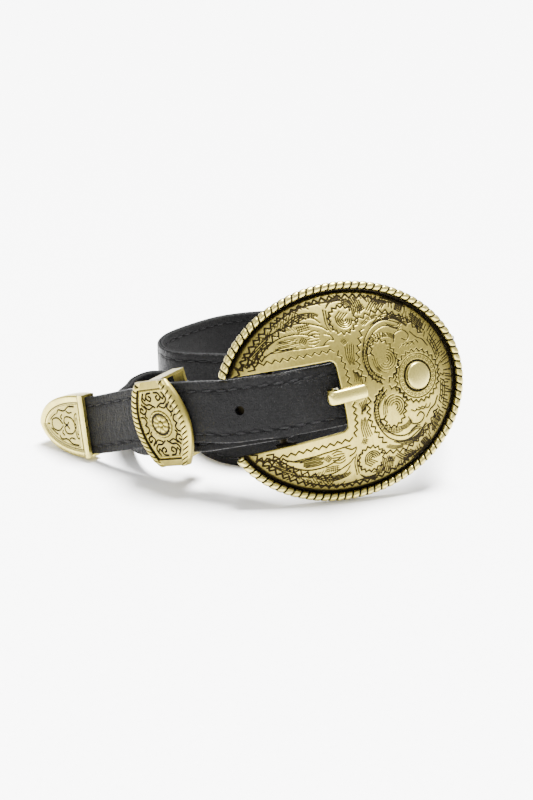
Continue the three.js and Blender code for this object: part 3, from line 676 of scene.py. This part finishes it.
def lugs():
    """The two lugs behind the arms that hold the crossbar."""
    vertices, faces = [], []
    for side in (1, -1):
        outline = []
        for k in range(13):
            angle = math.pi + math.pi * k / 12
            outline.append((BAR_X + 3.4 * math.cos(angle), BAR_Z + 3.4 * math.sin(angle)))
        outline += [(BAR_X + 4.4, 3.2), (BAR_X - 4.4, 2.4)]
        base = len(vertices)
        near, far = side * 14.6, side * 18.6
        for y in (near, far):
            vertices += [(x, y, z) for x, z in outline]
        n = len(outline)
        flip = side > 0
        for k in range(n):
            quad = [base + k, base + (k + 1) % n, base + n + (k + 1) % n, base + n + k]
            faces.append(quad if not flip else quad[::-1])
        first = [base + k for k in range(n)]
        second = [base + n + k for k in range(n)]
        faces.append(first if flip else first[::-1])
        faces.append(second[::-1] if flip else second)
    # the lugs take the near-black brass: painted shade in the notch
    made = piece("lugs", vertices, faces, SHADE_PAINTED_BRASS, "buckle", BUCKLE, None, 30, "dark_brass")
    bevel = made.modifiers.new("round", "BEVEL")
    bevel.width = 0.0004
    bevel.segments = 2
    return made


def rope_edge():
    """Rope wire round the rim, in even teeth, slanted as the strands lie."""
    pitch = 3.12
    start = math.pi - math.asin((NOTCH_MOUTH + 0.3) / (BUCKLE_LONG * OVAL))
    angles = np.linspace(-start, start, 4000)
    path = np.stack([BUCKLE_LONG * np.cos(angles), BUCKLE_LONG * OVAL * np.sin(angles),
                     np.zeros_like(angles)], -1)
    length = np.concatenate([[0], np.cumsum(np.linalg.norm(np.diff(path, axis=0), axis=1))])
    count = round(length[-1] / pitch)
    per_tooth = 12
    at = np.linspace(0, length[-1], count * per_tooth + 1)
    centres = np.stack([np.interp(at, length, path[:, k]) for k in range(3)], -1)
    along = np.gradient(centres, axis=0)
    along /= np.linalg.norm(along, axis=1, keepdims=True)
    up = np.tile([0.0, 0.0, 1.0], (len(at), 1))
    side = np.cross(along, up)

    def teeth(step, angle):
        phase = step / per_tooth + angle / (2 * math.pi) * -1.0
        wave = np.abs(np.sin(math.pi * phase))
        return 0.72 + 0.28 * np.clip(wave * 1.22, 0, 1) ** 0.6

    points, faces, scale = tube(centres, side, up, ROPE_RADIUS, 20, teeth)
    faces = [face[::-1] for face in faces]
    patina_and_shade = np.clip((0.95 - scale) / 0.12, 0, 1).reshape(-1)
    rope = piece("rope_wire", points, faces, POLISHED, "buckle", BUCKLE, patina_and_shade, 70, "antique_brass")
    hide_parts("rope_edge")
    return rope


def boss():
    """The polished stud in the middle of the medallion."""
    slope = 2 * DOME_HEIGHT * BOSS_X / PANEL_LONG ** 2
    seat = place(Vector((BOSS_X, 0, DOME_HEIGHT * (1 - (BOSS_X / PANEL_LONG) ** 2))),
                 *(Quaternion((0, 1, 0), math.atan(slope)) @ Vector(a)
                   for a in ((1, 0, 0), (0, 1, 0), (0, 0, 1))))
    profile = [(0.0, -3.1), (1.9, -3.1), (1.9, -2.6), (1.2, -2.5), (1.2, 0.0), (5.2, 0.0), (5.4, 0.2),
               (5.4, 0.6), (5.3, 0.78)]
    profile += [(5.2 * math.cos(a), 0.85 + 0.85 * math.sin(a))
                for a in np.linspace(0.05, math.pi / 2 - 0.05, 14)]
    profile.append((0.0, 1.72))
    around = 64
    vertices, faces = turned(profile, around)
    dark = np.repeat([0.4, 0.4, 0.4, 0.4, 0.5, 0.7, 0.6, 0.35, 0.2] + [0.12] * 14 + [0.12], around)
    stud = piece("boss_stud", vertices, faces, POLISHED, "buckle", BUCKLE @ seat, dark, 50, "antique_brass")
    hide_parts("centre_boss")
    return stud


def turned(profile, around, hollow=False):
    """A turned solid about z from (radius, height) pairs; hollow joins the last pair to the first."""
    angles = np.linspace(0, 2 * math.pi, around, endpoint=False)
    pairs = profile + profile[:1] if hollow else profile
    rings = [[(max(r, 1e-3) * math.cos(a), max(r, 1e-3) * math.sin(a), z) for a in angles] for r, z in pairs]
    vertices = np.array(rings).reshape(-1, 3)
    if not hollow:
        return vertices, capped_faces(len(pairs), around)
    faces = grid_faces(len(pairs), around, closed=True)
    joined = (len(pairs) - 1) * around
    return vertices[:joined], [[k % joined for k in face] for face in faces]


def prong():
    """A bent strip from its barrel on the crossbar, up through the strap and over the plate."""
    bar = np.array([BAR_X, BAR_Z])

    def neck(degrees):
        return bar + NECK_RADIUS * np.array([math.cos(math.radians(degrees)),
                                             math.sin(math.radians(degrees))])

    path = smooth([(-24.4, -1.0), (-15, -1.0), (-7, -0.9), (-3.6, 0.1), neck(9), neck(15), neck(21),
                   (-5.0, 8.6), (-6.6, 10.3), (-8.0, 11.5), (-8.0, 12.8), (-6.5, 13.45), (-3, 13.5),
                   (2, 13.45), (6.5, 13.35)], 0.3)
    along = np.gradient(path, axis=0)
    along /= np.linalg.norm(along, axis=1, keepdims=True)
    rising = np.stack([-along[:, 1], along[:, 0]], -1)
    steps = len(path)
    left = np.linalg.norm(path - path[-1], axis=1)
    angles = np.linspace(0, 2 * math.pi, 36, endpoint=False)
    wide = np.sign(np.cos(angles)) * np.abs(np.cos(angles)) ** 0.62
    thick = np.sign(np.sin(angles)) * np.abs(np.sin(angles)) ** 0.8
    crown = 0.22 * (1 - wide ** 2) * (thick > 0)
    end = np.sqrt(np.clip(1 - np.clip(1 - left / 1.5, 0, 1) ** 2, 0.03, 1))
    half_wide = 2.7 * (0.62 + 0.38 * end)
    half_thick = 1.1 * (0.35 + 0.65 * end)
    x = path[:, 0, None] + rising[:, 0, None] * half_thick[:, None] * (thick + crown)
    z = path[:, 1, None] + rising[:, 1, None] * half_thick[:, None] * (thick + crown)
    y = -half_wide[:, None] * wide * np.ones((steps, 1))
    points = np.stack([x, y, z], -1).reshape(-1, 3)
    faces = capped_faces(steps, len(angles))
    barrel, ring = turned([(2.1, -2.7), (3.4, -2.7), (3.4, 2.7), (2.1, 2.7)], 40, hollow=True)
    barrel = barrel @ np.array([[1, 0, 0], [0, 0, -1], [0, 1, 0]]) + (BAR_X, 0, BAR_Z)
    ring = [[k + len(points) for k in face] for face in ring]
    # painted shade: the strip's narrow sides and the barrel on the crossbar are darkened
    shade = np.concatenate([np.tile(np.clip((np.abs(wide) - 0.93) / 0.07, 0, 1) * 0.35, steps),
                            np.full(len(barrel), 0.3)])
    made = piece("bent_prong", np.vstack([points, barrel]), faces + ring, POLISHED, "prong", BUCKLE,
                 shade, 45, "antique_brass")
    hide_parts("prong")
    return made


# ---- the strap's route --------------------------------------------------------------------------
def spline(points, u, centripetal):
    """A Catmull-Rom curve through the stations, at the station numbers u."""
    p = np.asarray(points, float)
    ends = np.vstack([2 * p[0] - p[1], p, 2 * p[-1] - p[-2]])
    first = np.minimum(np.floor(u).astype(int), len(p) - 2)
    w = (u - first)[:, None]
    a, b, c, d = (ends[first + k] for k in range(4))
    if centripetal:
        ab, bc, cd = ((((q - p) ** 2).sum(1) ** 0.25)[:, None] for p, q in ((a, b), (b, c), (c, d)))
        start = ((b - a) / ab - (c - a) / (ab + bc) + (c - b) / bc) * bc
        finish = ((c - b) / bc - (d - b) / (bc + cd) + (d - c) / cd) * bc
    else:
        start, finish = (c - a) / 2, (d - b) / 2
    square = 3 * c - 3 * b - 2 * start - finish
    cube = 2 * b - 2 * c + start + finish
    return b + start * w + square * w ** 2 + cube * w ** 3


class Route:
    """Stations of (place, up, share of the strap's width), and the frame anywhere between them."""

    def __init__(self, stations):
        self.places = np.array([tuple(at) for at, up, width in stations])
        self.ups = np.array([tuple(up) for at, up, width in stations])
        self.widths = np.array([width for at, up, width in stations])
        self.last = len(stations) - 1

    def frames(self, u):
        """Middle, along, up and out at the station numbers u."""
        u = np.atleast_1d(np.asarray(u, float))
        nudge = 1e-4 * self.last
        ahead = spline(self.places, np.clip(u + nudge, 0, self.last), True)
        behind = spline(self.places, np.clip(u - nudge, 0, self.last), True)
        along = (ahead - behind) / np.linalg.norm(ahead - behind, axis=1, keepdims=True)
        up = spline(self.ups, u, False)
        up = up - along * (up * along).sum(1, keepdims=True)
        up /= np.linalg.norm(up, axis=1, keepdims=True)
        return spline(self.places, u, True), along, up, np.cross(along, up)

    def even(self, pitch, start=0.0, stop=None):
        """Station numbers at even distances along the route, and those distances."""
        fine = np.linspace(0, self.last, 60 * self.last + 1)
        at = spline(self.places, fine, True)
        length = np.concatenate([[0], np.cumsum(np.linalg.norm(np.diff(at, axis=0), axis=1))])
        stop = length[-1] if stop is None else stop
        walked = np.linspace(start, stop, int(round((stop - start) / pitch)) + 1)
        return np.interp(walked, length, fine), walked

    def distance(self, station):
        fine = np.linspace(0, station, 60 * max(1, math.ceil(station)) + 1)
        at = spline(self.places, fine, True)
        return float(np.linalg.norm(np.diff(at, axis=0), axis=1).sum())


TIP_UP = Vector((-0.2, 0.25, 0.947))
KEEPER_UP = Vector((-0.3, 0.18, 0.93))
HALFWAY = KEEPER_UP + BUCKLE_UP
UPRIGHT = Vector((0, 0, 1))
TIP_END = bench(-100.2, -24.6, 9.2)
TIP_MOUTH = bench(-75.4, -45, 15.5)
MOUTH_STATION = 2
KEEPER_STATION = 4
PRONG_STATION = 9

free_run = [
    (TIP_MOUTH.lerp(TIP_END, 0.72), TIP_UP, 0.45),
    (TIP_MOUTH.lerp(TIP_END, 0.45), TIP_UP, 0.86),
    (TIP_MOUTH, TIP_UP, 1),
    (bench(-59, -57, 23), TIP_UP, 1),
    (bench(-40.6, -69.8, 31.7), KEEPER_UP, 1),
    (on_buckle(-55.9, 4.6, -9), HALFWAY, 1),
]
for spot in ((-46, 2.8, -3), (-36, 2.3, 2.6), (-28, 1.6, 6.1), (-8, 0.6, 7.3), (2, 0.3, 6.7), (15, 0, 4.6),
             (30, -0.5, -0.4), (45, -1.5, -7)):
    free_run.append((on_buckle(*spot), BUCKLE_UP, 1))

coil_run = []
for spot in ((77.5, -40, 41.5), (80, -13, 32), (76.5, 16, 22.5), (64, 46, 15), (44, 72, 12.7), (10, 88.5),
             (-20, 82), (-39.5, 65), (-51, 48), (-52.3, 34.5), (-46, 24.5), (-25, 20.5), (5, 19.5),
             (35, 20.5), (52, 20), (64, 14), (69, 1), (67, -16), (57, -33), (38, -47), (18, -52.5),
             (-2, -53.5), (-17, -50), (-28, -39), (-34, -22), (-42, -7), (-53, -4), (-60, -12),
             (-62, -22, 12.75)):
    coil_run.append((bench(*spot), UPRIGHT, 1))
coil_run.append((bench(-62, -34, 13.8), TIP_UP, 1))

free_route = Route(free_run)
CHAPE_ALONG = Vector((-math.cos(BAR_SLOPE), 0, -math.sin(BAR_SLOPE)))
CHAPE_OUT = Vector((-math.sin(BAR_SLOPE), 0, math.cos(BAR_SLOPE)))


def on_chape(along, out, up=BUCKLE_UP, width=1):
    """A station beside the crossbar: along the chape and out from the bar's axis."""
    at = BAR_LOCAL + CHAPE_ALONG * along + CHAPE_OUT * out
    return on_buckle(*at), up, width


def behind_free(station, behind, lower):
    at, _, up, out = (Vector(row[0]) for row in free_route.frames(station))
    return at - out * behind - up * lower, up, 1


chape_run = [
    behind_free(3.1, STRAP_THICK + 2.3, 4.5),
    behind_free(KEEPER_STATION, STRAP_THICK + 1.3, 5.6),
    on_chape(FLAP_LENGTH + 3, WRAP - 1.1, HALFWAY),
    on_chape(FLAP_LENGTH - 5, WRAP),
    on_chape(SNAPS_AT[0], WRAP),
    on_chape(4, WRAP),
]
for turned_by in np.linspace(0, math.pi, 7):
    chape_run.append(on_chape(-WRAP * math.sin(turned_by), WRAP * math.cos(turned_by)))
chape_run += [on_chape(4, -WRAP), on_chape(SNAPS_AT[0], -WRAP), on_chape(FLAP_LENGTH - 5, -WRAP),
              on_chape(FLAP_LENGTH, -WRAP, BUCKLE_UP, 0.8)]
route = Route(free_run + coil_run + chape_run)
PRONG_AT = route.distance(PRONG_STATION)
STITCH_ROW = 8.8
HOLE_PITCH = 35
HOLE_RADIUS = 1.9


def section(inner, outer):
    """Half of a leather layer's section, (out, up) from the middle to the edge: rounded, with a groove."""
    s = math.copysign(1, outer - inner)
    top = [(outer, 0.0), (outer, 3.0), (outer, 6.0), (outer, STITCH_ROW - 0.85),
           (outer - s * 0.10, STITCH_ROW - 0.6), (outer - s * 0.34, STITCH_ROW - 0.3),
           (outer - s * 0.38, STITCH_ROW), (outer - s * 0.34, STITCH_ROW + 0.3),
           (outer - s * 0.10, STITCH_ROW + 0.6), (outer, STITCH_ROW + 0.85), (outer, 10.6)]
    for angle in np.linspace(0, math.pi / 2, 7):
        top.append((outer - s * 0.85 * (1 - math.cos(angle)), STRAP_HALF - 0.95 + 0.95 * math.sin(angle)))
    return top + [(inner + s * 0.12, STRAP_HALF), (inner, STRAP_HALF - 0.12), (inner, 8.0), (inner, 0.0)]


def strap_layer(name, node_name, inner, outer, material, slot, cutters):
    half = section(inner, outer)
    other = [(out, -up) for out, up in reversed(half[1:-1])]
    ring = np.array(half + other)
    u, _ = route.even(1.15)
    at, _, up, out = route.frames(u)
    width = np.interp(u, np.arange(route.last + 1), route.widths)
    span = ring[None, :, 1] * np.where(np.abs(ring[None, :, 1]) > 0, width[:, None], 1)
    points = (at[:, None, :] + out[:, None, :] * ring[None, :, 0, None] + up[:, None, :] * span[:, :, None])
    steps, around = points.shape[:2]
    faces = capped_faces(steps, around)
    if outer < inner:
        faces = [face[::-1] for face in faces]
    made = piece(name, points.reshape(-1, 3), faces, material, "strap", None, None, 50, slot)
    cut = made.modifiers.new("holes", "BOOLEAN")
    cut.operation = "DIFFERENCE"
    cut.solver = "EXACT"
    cut.object = cutters
    bpy.context.view_layer.update()
    graph = bpy.context.evaluated_depsgraph_get()
    mesh = bpy.data.meshes.new_from_object(made.evaluated_get(graph), depsgraph=graph)
    made.modifiers.clear()
    made.data = mesh
    mesh.set_sharp_from_angle(angle=math.radians(50))
    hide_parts(node_name)
    return made


def hole_cutters():
    """Everything that is cut through the strap, as one mesh that is thrown away afterwards."""
    vertices, faces = [], []

    def add(points, some):
        base = len(vertices)
        vertices.extend(points)
        faces.extend([[k + base for k in face] for face in some])

    def drill(matrix, radius, low, high):
        rim, sides = turned([(0, low), (radius, low), (radius, high), (0, high)], 32)
        add([tuple(matrix @ Vector(p)) for p in rim], sides)

    def block(matrix, low, high):
        corners = [(x, y, z) for x in (low[0], high[0]) for y in (low[1], high[1])
                   for z in (low[2], high[2])]
        add([tuple(matrix @ Vector(p)) for p in corners],
            [[0, 1, 3, 2], [4, 6, 7, 5], [0, 4, 5, 1], [2, 3, 7, 6], [0, 2, 6, 4], [1, 5, 7, 3]])

    for number in (-2, -1, 1, 2):
        u = route.even(1, PRONG_AT - HOLE_PITCH * number, PRONG_AT - HOLE_PITCH * number + 1)[0][0]
        at, along, up, out = (Vector(row[0]) for row in route.frames(u))
        drill(place(at, along, up, out), HOLE_RADIUS, -STRAP_THICK, STRAP_THICK)
    neck_low = BAR_X + math.sqrt(NECK_RADIUS ** 2 - (11 - BAR_Z) ** 2) - 1.9
    neck_high = BAR_X + math.sqrt(NECK_RADIUS ** 2 - (4 - BAR_Z) ** 2) + 1.9
    block(BUCKLE, (neck_low, -3.2, 4.5), (neck_high, 3.2, 11))
    block(BUCKLE, (BAR_X - 5, -3.4, BAR_Z - 9), (BAR_X + 8, 3.4, BAR_Z + 6.2))
    for along in SNAPS_AT:
        matrix = BUCKLE @ place(BAR_LOCAL + CHAPE_ALONG * along + CHAPE_OUT * WRAP, -CHAPE_ALONG,
                                Vector((0, 1, 0)), CHAPE_OUT)
        drill(matrix, 1.9, -2 * WRAP - STRAP_THICK, STRAP_THICK / 2 + 0.3)
    for side in (-5, 5):
        drill(TIP @ Matrix.Translation((11, side, 0)), 1.1, -STRAP_THICK, STRAP_THICK)
    mesh = bpy.data.meshes.new("cutters")
    mesh.from_pydata((np.array(vertices) * MM).tolist(), [], faces)
    made = bpy.data.objects.new("cutters", mesh)
    bpy.context.scene.collection.objects.link(made)
    return made


def stitching():
    """Two rows of lockstitch on each side of the strap, sunk in their grooves."""
    start = route.distance(MOUTH_STATION) + 3.5
    stop = route.distance(route.last) - 3
    pitch, long, thick = 5.9, 4.7, 0.5
    rings, around = 7, 8
    angles = np.linspace(0, 2 * math.pi, around, endpoint=False)
    lengths = np.linspace(-1, 1, rings)
    fat = np.sqrt(np.clip(1 - np.abs(lengths) ** 3.2, 0.02, 1))
    shape = np.stack([np.repeat(lengths * long / 2, around),
                      np.outer(fat, np.cos(angles) * thick).reshape(-1),
                      np.outer(fat, np.sin(angles) * thick * 0.72).reshape(-1)], -1)
    stitch_faces = capped_faces(rings, around)
    u, _ = route.even(pitch, start, stop)
    jitter = np.random.default_rng(11)
    vertices, faces = [], []
    for face_side in (1, -1):
        for row in (1, -1):
            wobble = jitter.normal(0, 0.07, (len(u), 2))
            at, along, up, out = route.frames(u)
            for k in range(len(u)):
                base = len(vertices) * len(shape)
                lean = along[k] + up[k] * (0.07 * row + wobble[k, 0] * 0.5)
                lean /= np.linalg.norm(lean)
                across = np.cross(out[k], lean)
                middle = at[k] + up[k] * (row * STITCH_ROW + wobble[k, 1]) + out[k] * face_side * 1.36
                bow = out[k] * face_side
                local = shape.copy()
                drop = -0.28 * (np.abs(shape[:, 0]) / (long / 2)) ** 4
                vertices.append(middle + np.outer(local[:, 0], lean) + np.outer(local[:, 1], across)
                                + np.outer(local[:, 2] + drop, bow))
                faces += [[number + base for number in face] for face in stitch_faces]
    points = np.vstack(vertices)
    return piece("stitching", points, faces, THREAD, "strap", None, None, 60, "face_leather")


# ---- the keeper and the tip ---------------------------------------------------------------------
def free_place(station, lower=0.0):
    at, along, up, out = (Vector(row[0]) for row in free_route.frames(station))
    return place(at - up * lower, along, up, out)


KEEPER = free_place(KEEPER_STATION, 3.2)
KEEPER_FACE = 5.6
KEEPER_HALF = 18.2


def keeper_side(y):
    return 8.25 + 6.5 * (1 - (y / KEEPER_HALF) ** 2)


def keeper_edge(x, y):
    lean = 13.0 * y / KEEPER_HALF ** 2
    return np.maximum(np.abs(y) - KEEPER_HALF, (np.abs(x) - keeper_side(y)) / np.sqrt(1 + lean ** 2))


def keeper_engraving():
    art = Engraving(21)
    quarter = Engraving(22)
    quarter.curve([(1.0, 13.4), (3.2, 13.0), (3.8, 11.0), (2.2, 10.0), (1.4, 11.4), (2.4, 12.0)], 0.42, 0.4)
    quarter.curve([(5.2, 13.2), (6.6, 10.6), (5.0, 8.6), (3.0, 8.6), (0.6, 7.2)], 0.42, 0.4)
    quarter.curve([(7.6, 8.8), (5.8, 6.6), (7.4, 4.8), (9.2, 5.8), (8.6, 7.4), (7.6, 6.6)], 0.42, 0.4)
    quarter.curve([(9.8, 3.6), (8.2, 3.2), (7.4, 1.4), (8.8, 0.0)], 0.42, 0.4)
    quarter.curve([(4.2, 11.6), (5.0, 10.4), (6.0, 12.0)], 0.36, 0.36)
    quarter.curve([(2.0, 7.4), (4.4, 6.6), (6.2, 8.2)], 0.36, 0.36)
    quarter.curve([(6.6, 3.0), (7.4, 3.8), (6.8, 4.8)], 0.36, 0.36)
    for points, width, depth in quarter.strokes:
        for sx in (1, -1):
            for sy in (1, -1):
                art.line(points * (sx, sy), width, depth)
    return art


def rope_band(d, y, middle, half, pitch, slant):
    """Height of a rope seen from above, at a distance d across it and y along it."""
    across = np.clip((d - middle) / half, -1, 1)
    rise = np.sqrt(1 - across ** 2)
    wave = np.abs(np.sin(math.pi * (y / pitch + slant * across)))
    height = rise * (0.45 + 0.55 * np.clip(1.3 * wave, 0, 1) ** 0.8)
    gaps = np.clip(1.5 - 2.3 * wave, 0, 1) * (rise > 0.1)
    return height, gaps


def keeper_surface(x, y, groove):
    d = keeper_side(y) - np.abs(x)
    rope, gaps = rope_band(d, y, 2.35, 1.5, 2.15, 0.42)
    z = KEEPER_FACE - 0.9 * np.clip(1 - d / 1.0, 0, 1) ** 1.5
    z = z + 0.85 * rope
    stain = 0.9 * gaps
    ends = np.clip((np.abs(y) - 15.4) / 2.8, 0, 1)
    z = z - 0.9 * ends
    panel = np.minimum(d - 3.9, 15.0 - np.abs(y))
    sunk = np.clip(panel / 0.35, 0, 1)
    z = z - 0.75 * sunk
    stain = np.maximum(stain, np.clip(1 - np.abs(panel) / 0.45, 0, 1))
    along = np.where(np.abs(y) > 14.0, x, y)
    beads = np.clip(1 - ((panel - 0.85) / 0.45) ** 2, 0, 1)
    beads = beads * (0.35 + 0.65 * np.abs(np.sin(math.pi * along)))
    z = z + 0.42 * beads * (panel > 0)
    r, angle = np.hypot(x, y), np.arctan2(y, x)
    ring_beads = np.clip(1 - ((r - 5.2) / 0.55) ** 2, 0, 1) * (0.4 + 0.6 * np.abs(np.sin(9 * angle)))
    petals = np.clip(1 - ((r - 2.6) / 1.5) ** 2, 0, 1) * (0.15 + 0.85 * np.abs(np.cos(4 * angle)) ** 0.8)
    heart = np.sqrt(np.clip(1 - (r / 1.1) ** 2, 0, 1))
    flower = np.maximum(np.maximum(0.6 * ring_beads, 0.75 * petals), 0.9 * heart)
    z = np.where(r < 6, z + flower, z - groove * sunk)
    hollow = np.clip(0.75 - 1.6 * flower, 0, 0.9) * (r < 5.9)
    ground = np.clip(0.28 * sunk, 0, 1) * (r >= 5.9) * (panel > 1.3)
    stain = np.maximum(np.maximum(stain, hollow), np.clip(groove / 0.28, 0, 1) * sunk * (r > 6) + ground)
    return z, np.clip(stain, 0, 1)


def keeper_plate():
    bounds = (-15, 15, -KEEPER_HALF, KEEPER_HALF)
    made = relief(bounds, 0.19, keeper_edge, keeper_surface, lambda x, y: 3.0 + 0 * x, keeper_engraving())
    plate = piece("keeper_relief", *made[:2], BRASS, "keeper", KEEPER, made[2], 50, "antique_brass")
    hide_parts("keeper_plate")
    return plate


def tip_place():
    at, _, up, _ = (Vector(row[0]) for row in free_route.frames(MOUTH_STATION))
    along = (TIP_END - TIP_MOUTH).normalized()
    down = -(up - along * up.dot(along)).normalized()
    return place(at, along, down, along.cross(down))


TIP = tip_place()
TIP_LONG = 31.0
TIP_HALF = 13.8
TIP_TOP = 3.9
TIP_SEAT = 1.9


def bezier(points, count):
    a, b, c, d = (np.array(p, float) for p in points)
    t = np.linspace(0, 1, count)[:, None]
    return a * (1 - t) ** 3 + 3 * b * t * (1 - t) ** 2 + 3 * c * t * t * (1 - t) + d * t ** 3


def tip_outline(inset=0.0):
    half, point = TIP_HALF - inset, TIP_LONG - inset
    lower = bezier([(0, -half), (point * 0.5, -half - 0.6), (point * 0.92, -half * 0.7), (point, 0)], 40)
    return np.vstack([lower, lower[-2::-1] * (1, -1)])


def tip_edge(x, y):
    """Signed distance to the tip's outline, below zero inside."""
    outline = np.vstack([tip_outline(), [(0, -TIP_HALF)]])
    best = np.full(np.shape(x), 1e9)
    for a, b in zip(outline[:-1], outline[1:]):
        along = b - a
        share = np.clip(((x - a[0]) * along[0] + (y - a[1]) * along[1]) / (along @ along), 0, 1)
        best = np.minimum(best, np.hypot(x - a[0] - share * along[0], y - a[1] - share * along[1]))
    half = np.interp(x, tip_outline()[:40, 0], -tip_outline()[:40, 1])
    inside = (x > 0) & (x < TIP_LONG) & (np.abs(y) < half)
    return np.where(inside, -best, best)


def tip_engraving():
    art = Engraving(31)
    art.curve([(6.5, 0.4), (9.0, 3.4), (13.0, 3.6), (14.2, 1.2), (12.4, 0.2), (11.0, 1.4)], 0.42, 0.4)
    art.curve([(15.2, 0.6), (18.2, 2.8), (21.8, 2.2), (22.6, 0.2)], 0.42, 0.4)
    art.curve([(6.2, 8.6), (10.0, 8.4), (13.4, 6.4), (17.0, 6.6), (18.4, 5.0)], 0.42, 0.4)
    art.curve([(8.2, 6.0), (10.4, 5.6), (11.8, 6.4)], 0.4, 0.4)
    art.curve([(15.0, 4.6), (16.2, 3.6), (15.4, 2.6)], 0.4, 0.4)
    art.curve([(19.4, 4.6), (21.0, 3.8), (23.4, 2.0)], 0.36, 0.34)
    art.curve([(24.2, 0.0), (25.4, 0.0)], 0.4, 0.36)
    art.mirror()
    ring = np.linspace(0, 2 * math.pi, 40)
    art.line(np.stack([5.6 + 1.7 * np.cos(ring), 5.6 * np.sin(ring)], -1), 0.36, 0.36)
    art.line(np.stack([5.6 + 0.7 * np.cos(ring), 3.9 * np.sin(ring)], -1), 0.3, 0.3)
    return art


def tip_surface(x, y, groove):
    d = -tip_edge(x, y)
    side = np.where(x < 1.2, 1e3, d)
    bezel = np.clip(1 - ((np.minimum(side, 3.0) - 1.5) / 1.5) ** 2, 0, 1)
    z = TIP_TOP - 0.45 + 0.55 * bezel ** 0.7 - 0.5 * np.clip(1 - side / 0.6, 0, 1) ** 2
    bar = np.clip(1 - ((x - 1.35) / 1.2) ** 2, 0, 1)
    panel = np.minimum(d - 3.0, x - 2.7)
    sunk = np.clip(panel / 0.3, 0, 1)
    z = z - 0.35 * sunk
    z = np.maximum(z, TIP_TOP - 0.35 + 0.75 * bar ** 0.6 * (x < 2.6))
    line = np.clip(1 - ((panel - 1.25) / 0.32) ** 2, 0, 1) * (panel > 0)
    z = z + 0.4 * line - groove * sunk * (panel > 1.6)
    stain = np.clip(1 - np.abs(panel - 0.35) / 0.5, 0, 1)
    stain = np.maximum(stain, np.clip(groove / 0.28, 0, 1) * (panel > 1.6))
    stain = np.maximum(stain, 0.32 * (panel > 1.6))
    stain = np.maximum(stain, 0.7 * np.clip(1 - np.abs(x - 2.75) / 0.35, 0, 1))
    return z, np.clip(stain * (1 - 0.9 * line), 0, 1)


def tip_shell():
    bounds = (0, TIP_LONG, -TIP_HALF - 0.6, TIP_HALF + 0.6)
    made = relief(bounds, 0.19, tip_edge, tip_surface, lambda x, y: TIP_SEAT + 0 * x, tip_engraving())
    face = piece("tip_relief", *made[:2], POLISHED, "strap", TIP, 0.8 * made[2], 50, "antique_brass")
    outer, inner = tip_outline(), tip_outline(1.1)
    count = len(outer)
    vertices, faces = [], []
    for ring, z in ((outer, -TIP_SEAT), (outer, TIP_SEAT + 0.02), (inner, TIP_SEAT + 0.02),
                    (inner, -TIP_SEAT)):
        vertices += [(x, y, z) for x, y in ring]
    for k in range(count - 1):
        for band in range(4):
            a, b = band * count + k, (band + 1) % 4 * count + k
            faces.append([a, a + 1, b + 1, b])
    faces.append([0, count, 2 * count, 3 * count])
    faces.append([4 * count - 1, 3 * count - 1, 2 * count - 1, count - 1])
    wall = piece("tip_wall", vertices, faces, POLISHED, "strap", TIP, None, 40, "antique_brass")
    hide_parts("tip_shell")
    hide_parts("tip_shell")
    return face, wall


# ---- build it -----------------------------------------------------------------------------------
buckle_plate()
lugs()
rope_edge()
boss()
prong()
cutters = hole_cutters()
strap_layer("leather_face", "strap_face", 0.12, STRAP_THICK / 2, FACE, "face_leather", cutters)
strap_layer("leather_lining", "strap_lining", -0.12, -STRAP_THICK / 2, LINING, "lining_leather", cutters)
bpy.data.objects.remove(cutters)
stitching()
keeper_plate()
tip_shell()
for name in frame["nodes"]:
    if name.startswith("snap_cap"):
        repaint(name, BRASS)
    # the crossbar and the snaps take the near-black brass: painted shade
    elif name.startswith("snap") or name == "crossbar":
        repaint(name, SHADE_PAINTED_BRASS)
    elif name == "keeper_loop":
        repaint(name, BRASS)
    elif name in ("tip_back", "tip_tack_1", "tip_tack_2"):
        repaint(name, DARK_BRASS)

# ---- the studio ---------------------------------------------------------------------------------
SKY_STRENGTH = 1.25
WINDOW_TOWARD = (-0.16, -0.20, -1.0)
WINDOW_STRENGTH = 27.0
WINDOW_SPREAD = 24

def floor_material():
    material, tree, shader = new_material("paper")
    grain = noise(tree, 400, 3)
    tree.links.new(ramp(tree, grain, [(0.3, (0.90, 0.90, 0.90)), (0.7, (0.93, 0.93, 0.93))]),
                   shader.inputs["Base Color"])
    shader.inputs["Roughness"].default_value = 0.8
    shader.inputs["Specular IOR Level"].default_value = 0.2
    bump(tree, shader, [(grain, 0.05, 0.0002)])
    return material


def studio():
    """A wide pale floor: it fills the picture, so no backdrop stands behind the belt."""
    size = 30.0
    mesh = bpy.data.meshes.new("floor")
    mesh.from_pydata([(-size, -size, 0), (size, -size, 0), (size, size, 0), (-size, size, 0)], [],
                     [[0, 1, 2, 3]])
    mesh.materials.append(floor_material())
    floor = bpy.data.objects.new("floor", mesh)
    bpy.context.scene.collection.objects.link(floor)


def sun(name, toward, strength, spread):
    data = bpy.data.lights.new(name, "SUN")
    data.energy = strength
    data.angle = math.radians(spread)
    made = bpy.data.objects.new(name, data)
    made.rotation_euler = Vector(toward).to_track_quat("-Z", "Y").to_euler()
    bpy.context.scene.collection.objects.link(made)


def softbox(name, spot, target, width, height, watts, tint=(1, 1, 1)):
    data = bpy.data.lights.new(name, "AREA")
    data.shape = "RECTANGLE"
    data.size, data.size_y = width, height
    data.energy = watts
    data.color = tint
    made = bpy.data.objects.new(name, data)
    made.location = spot
    aim = Vector(target) - Vector(spot)
    made.rotation_euler = aim.to_track_quat("-Z", "Y").to_euler()
    bpy.context.scene.collection.objects.link(made)


def sky():
    world = bpy.data.worlds.new("world")
    world.use_nodes = True
    background = world.node_tree.nodes["Background"]
    background.inputs["Color"].default_value = (1, 1, 1, 1)
    background.inputs["Strength"].default_value = SKY_STRENGTH
    bpy.context.scene.world = world


studio()
sky()
sun("window", WINDOW_TOWARD, WINDOW_STRENGTH, WINDOW_SPREAD)
softbox("front", (-0.45, -0.85, 0.70), (0.02, -0.08, 0.04), 0.5, 0.4, 4)
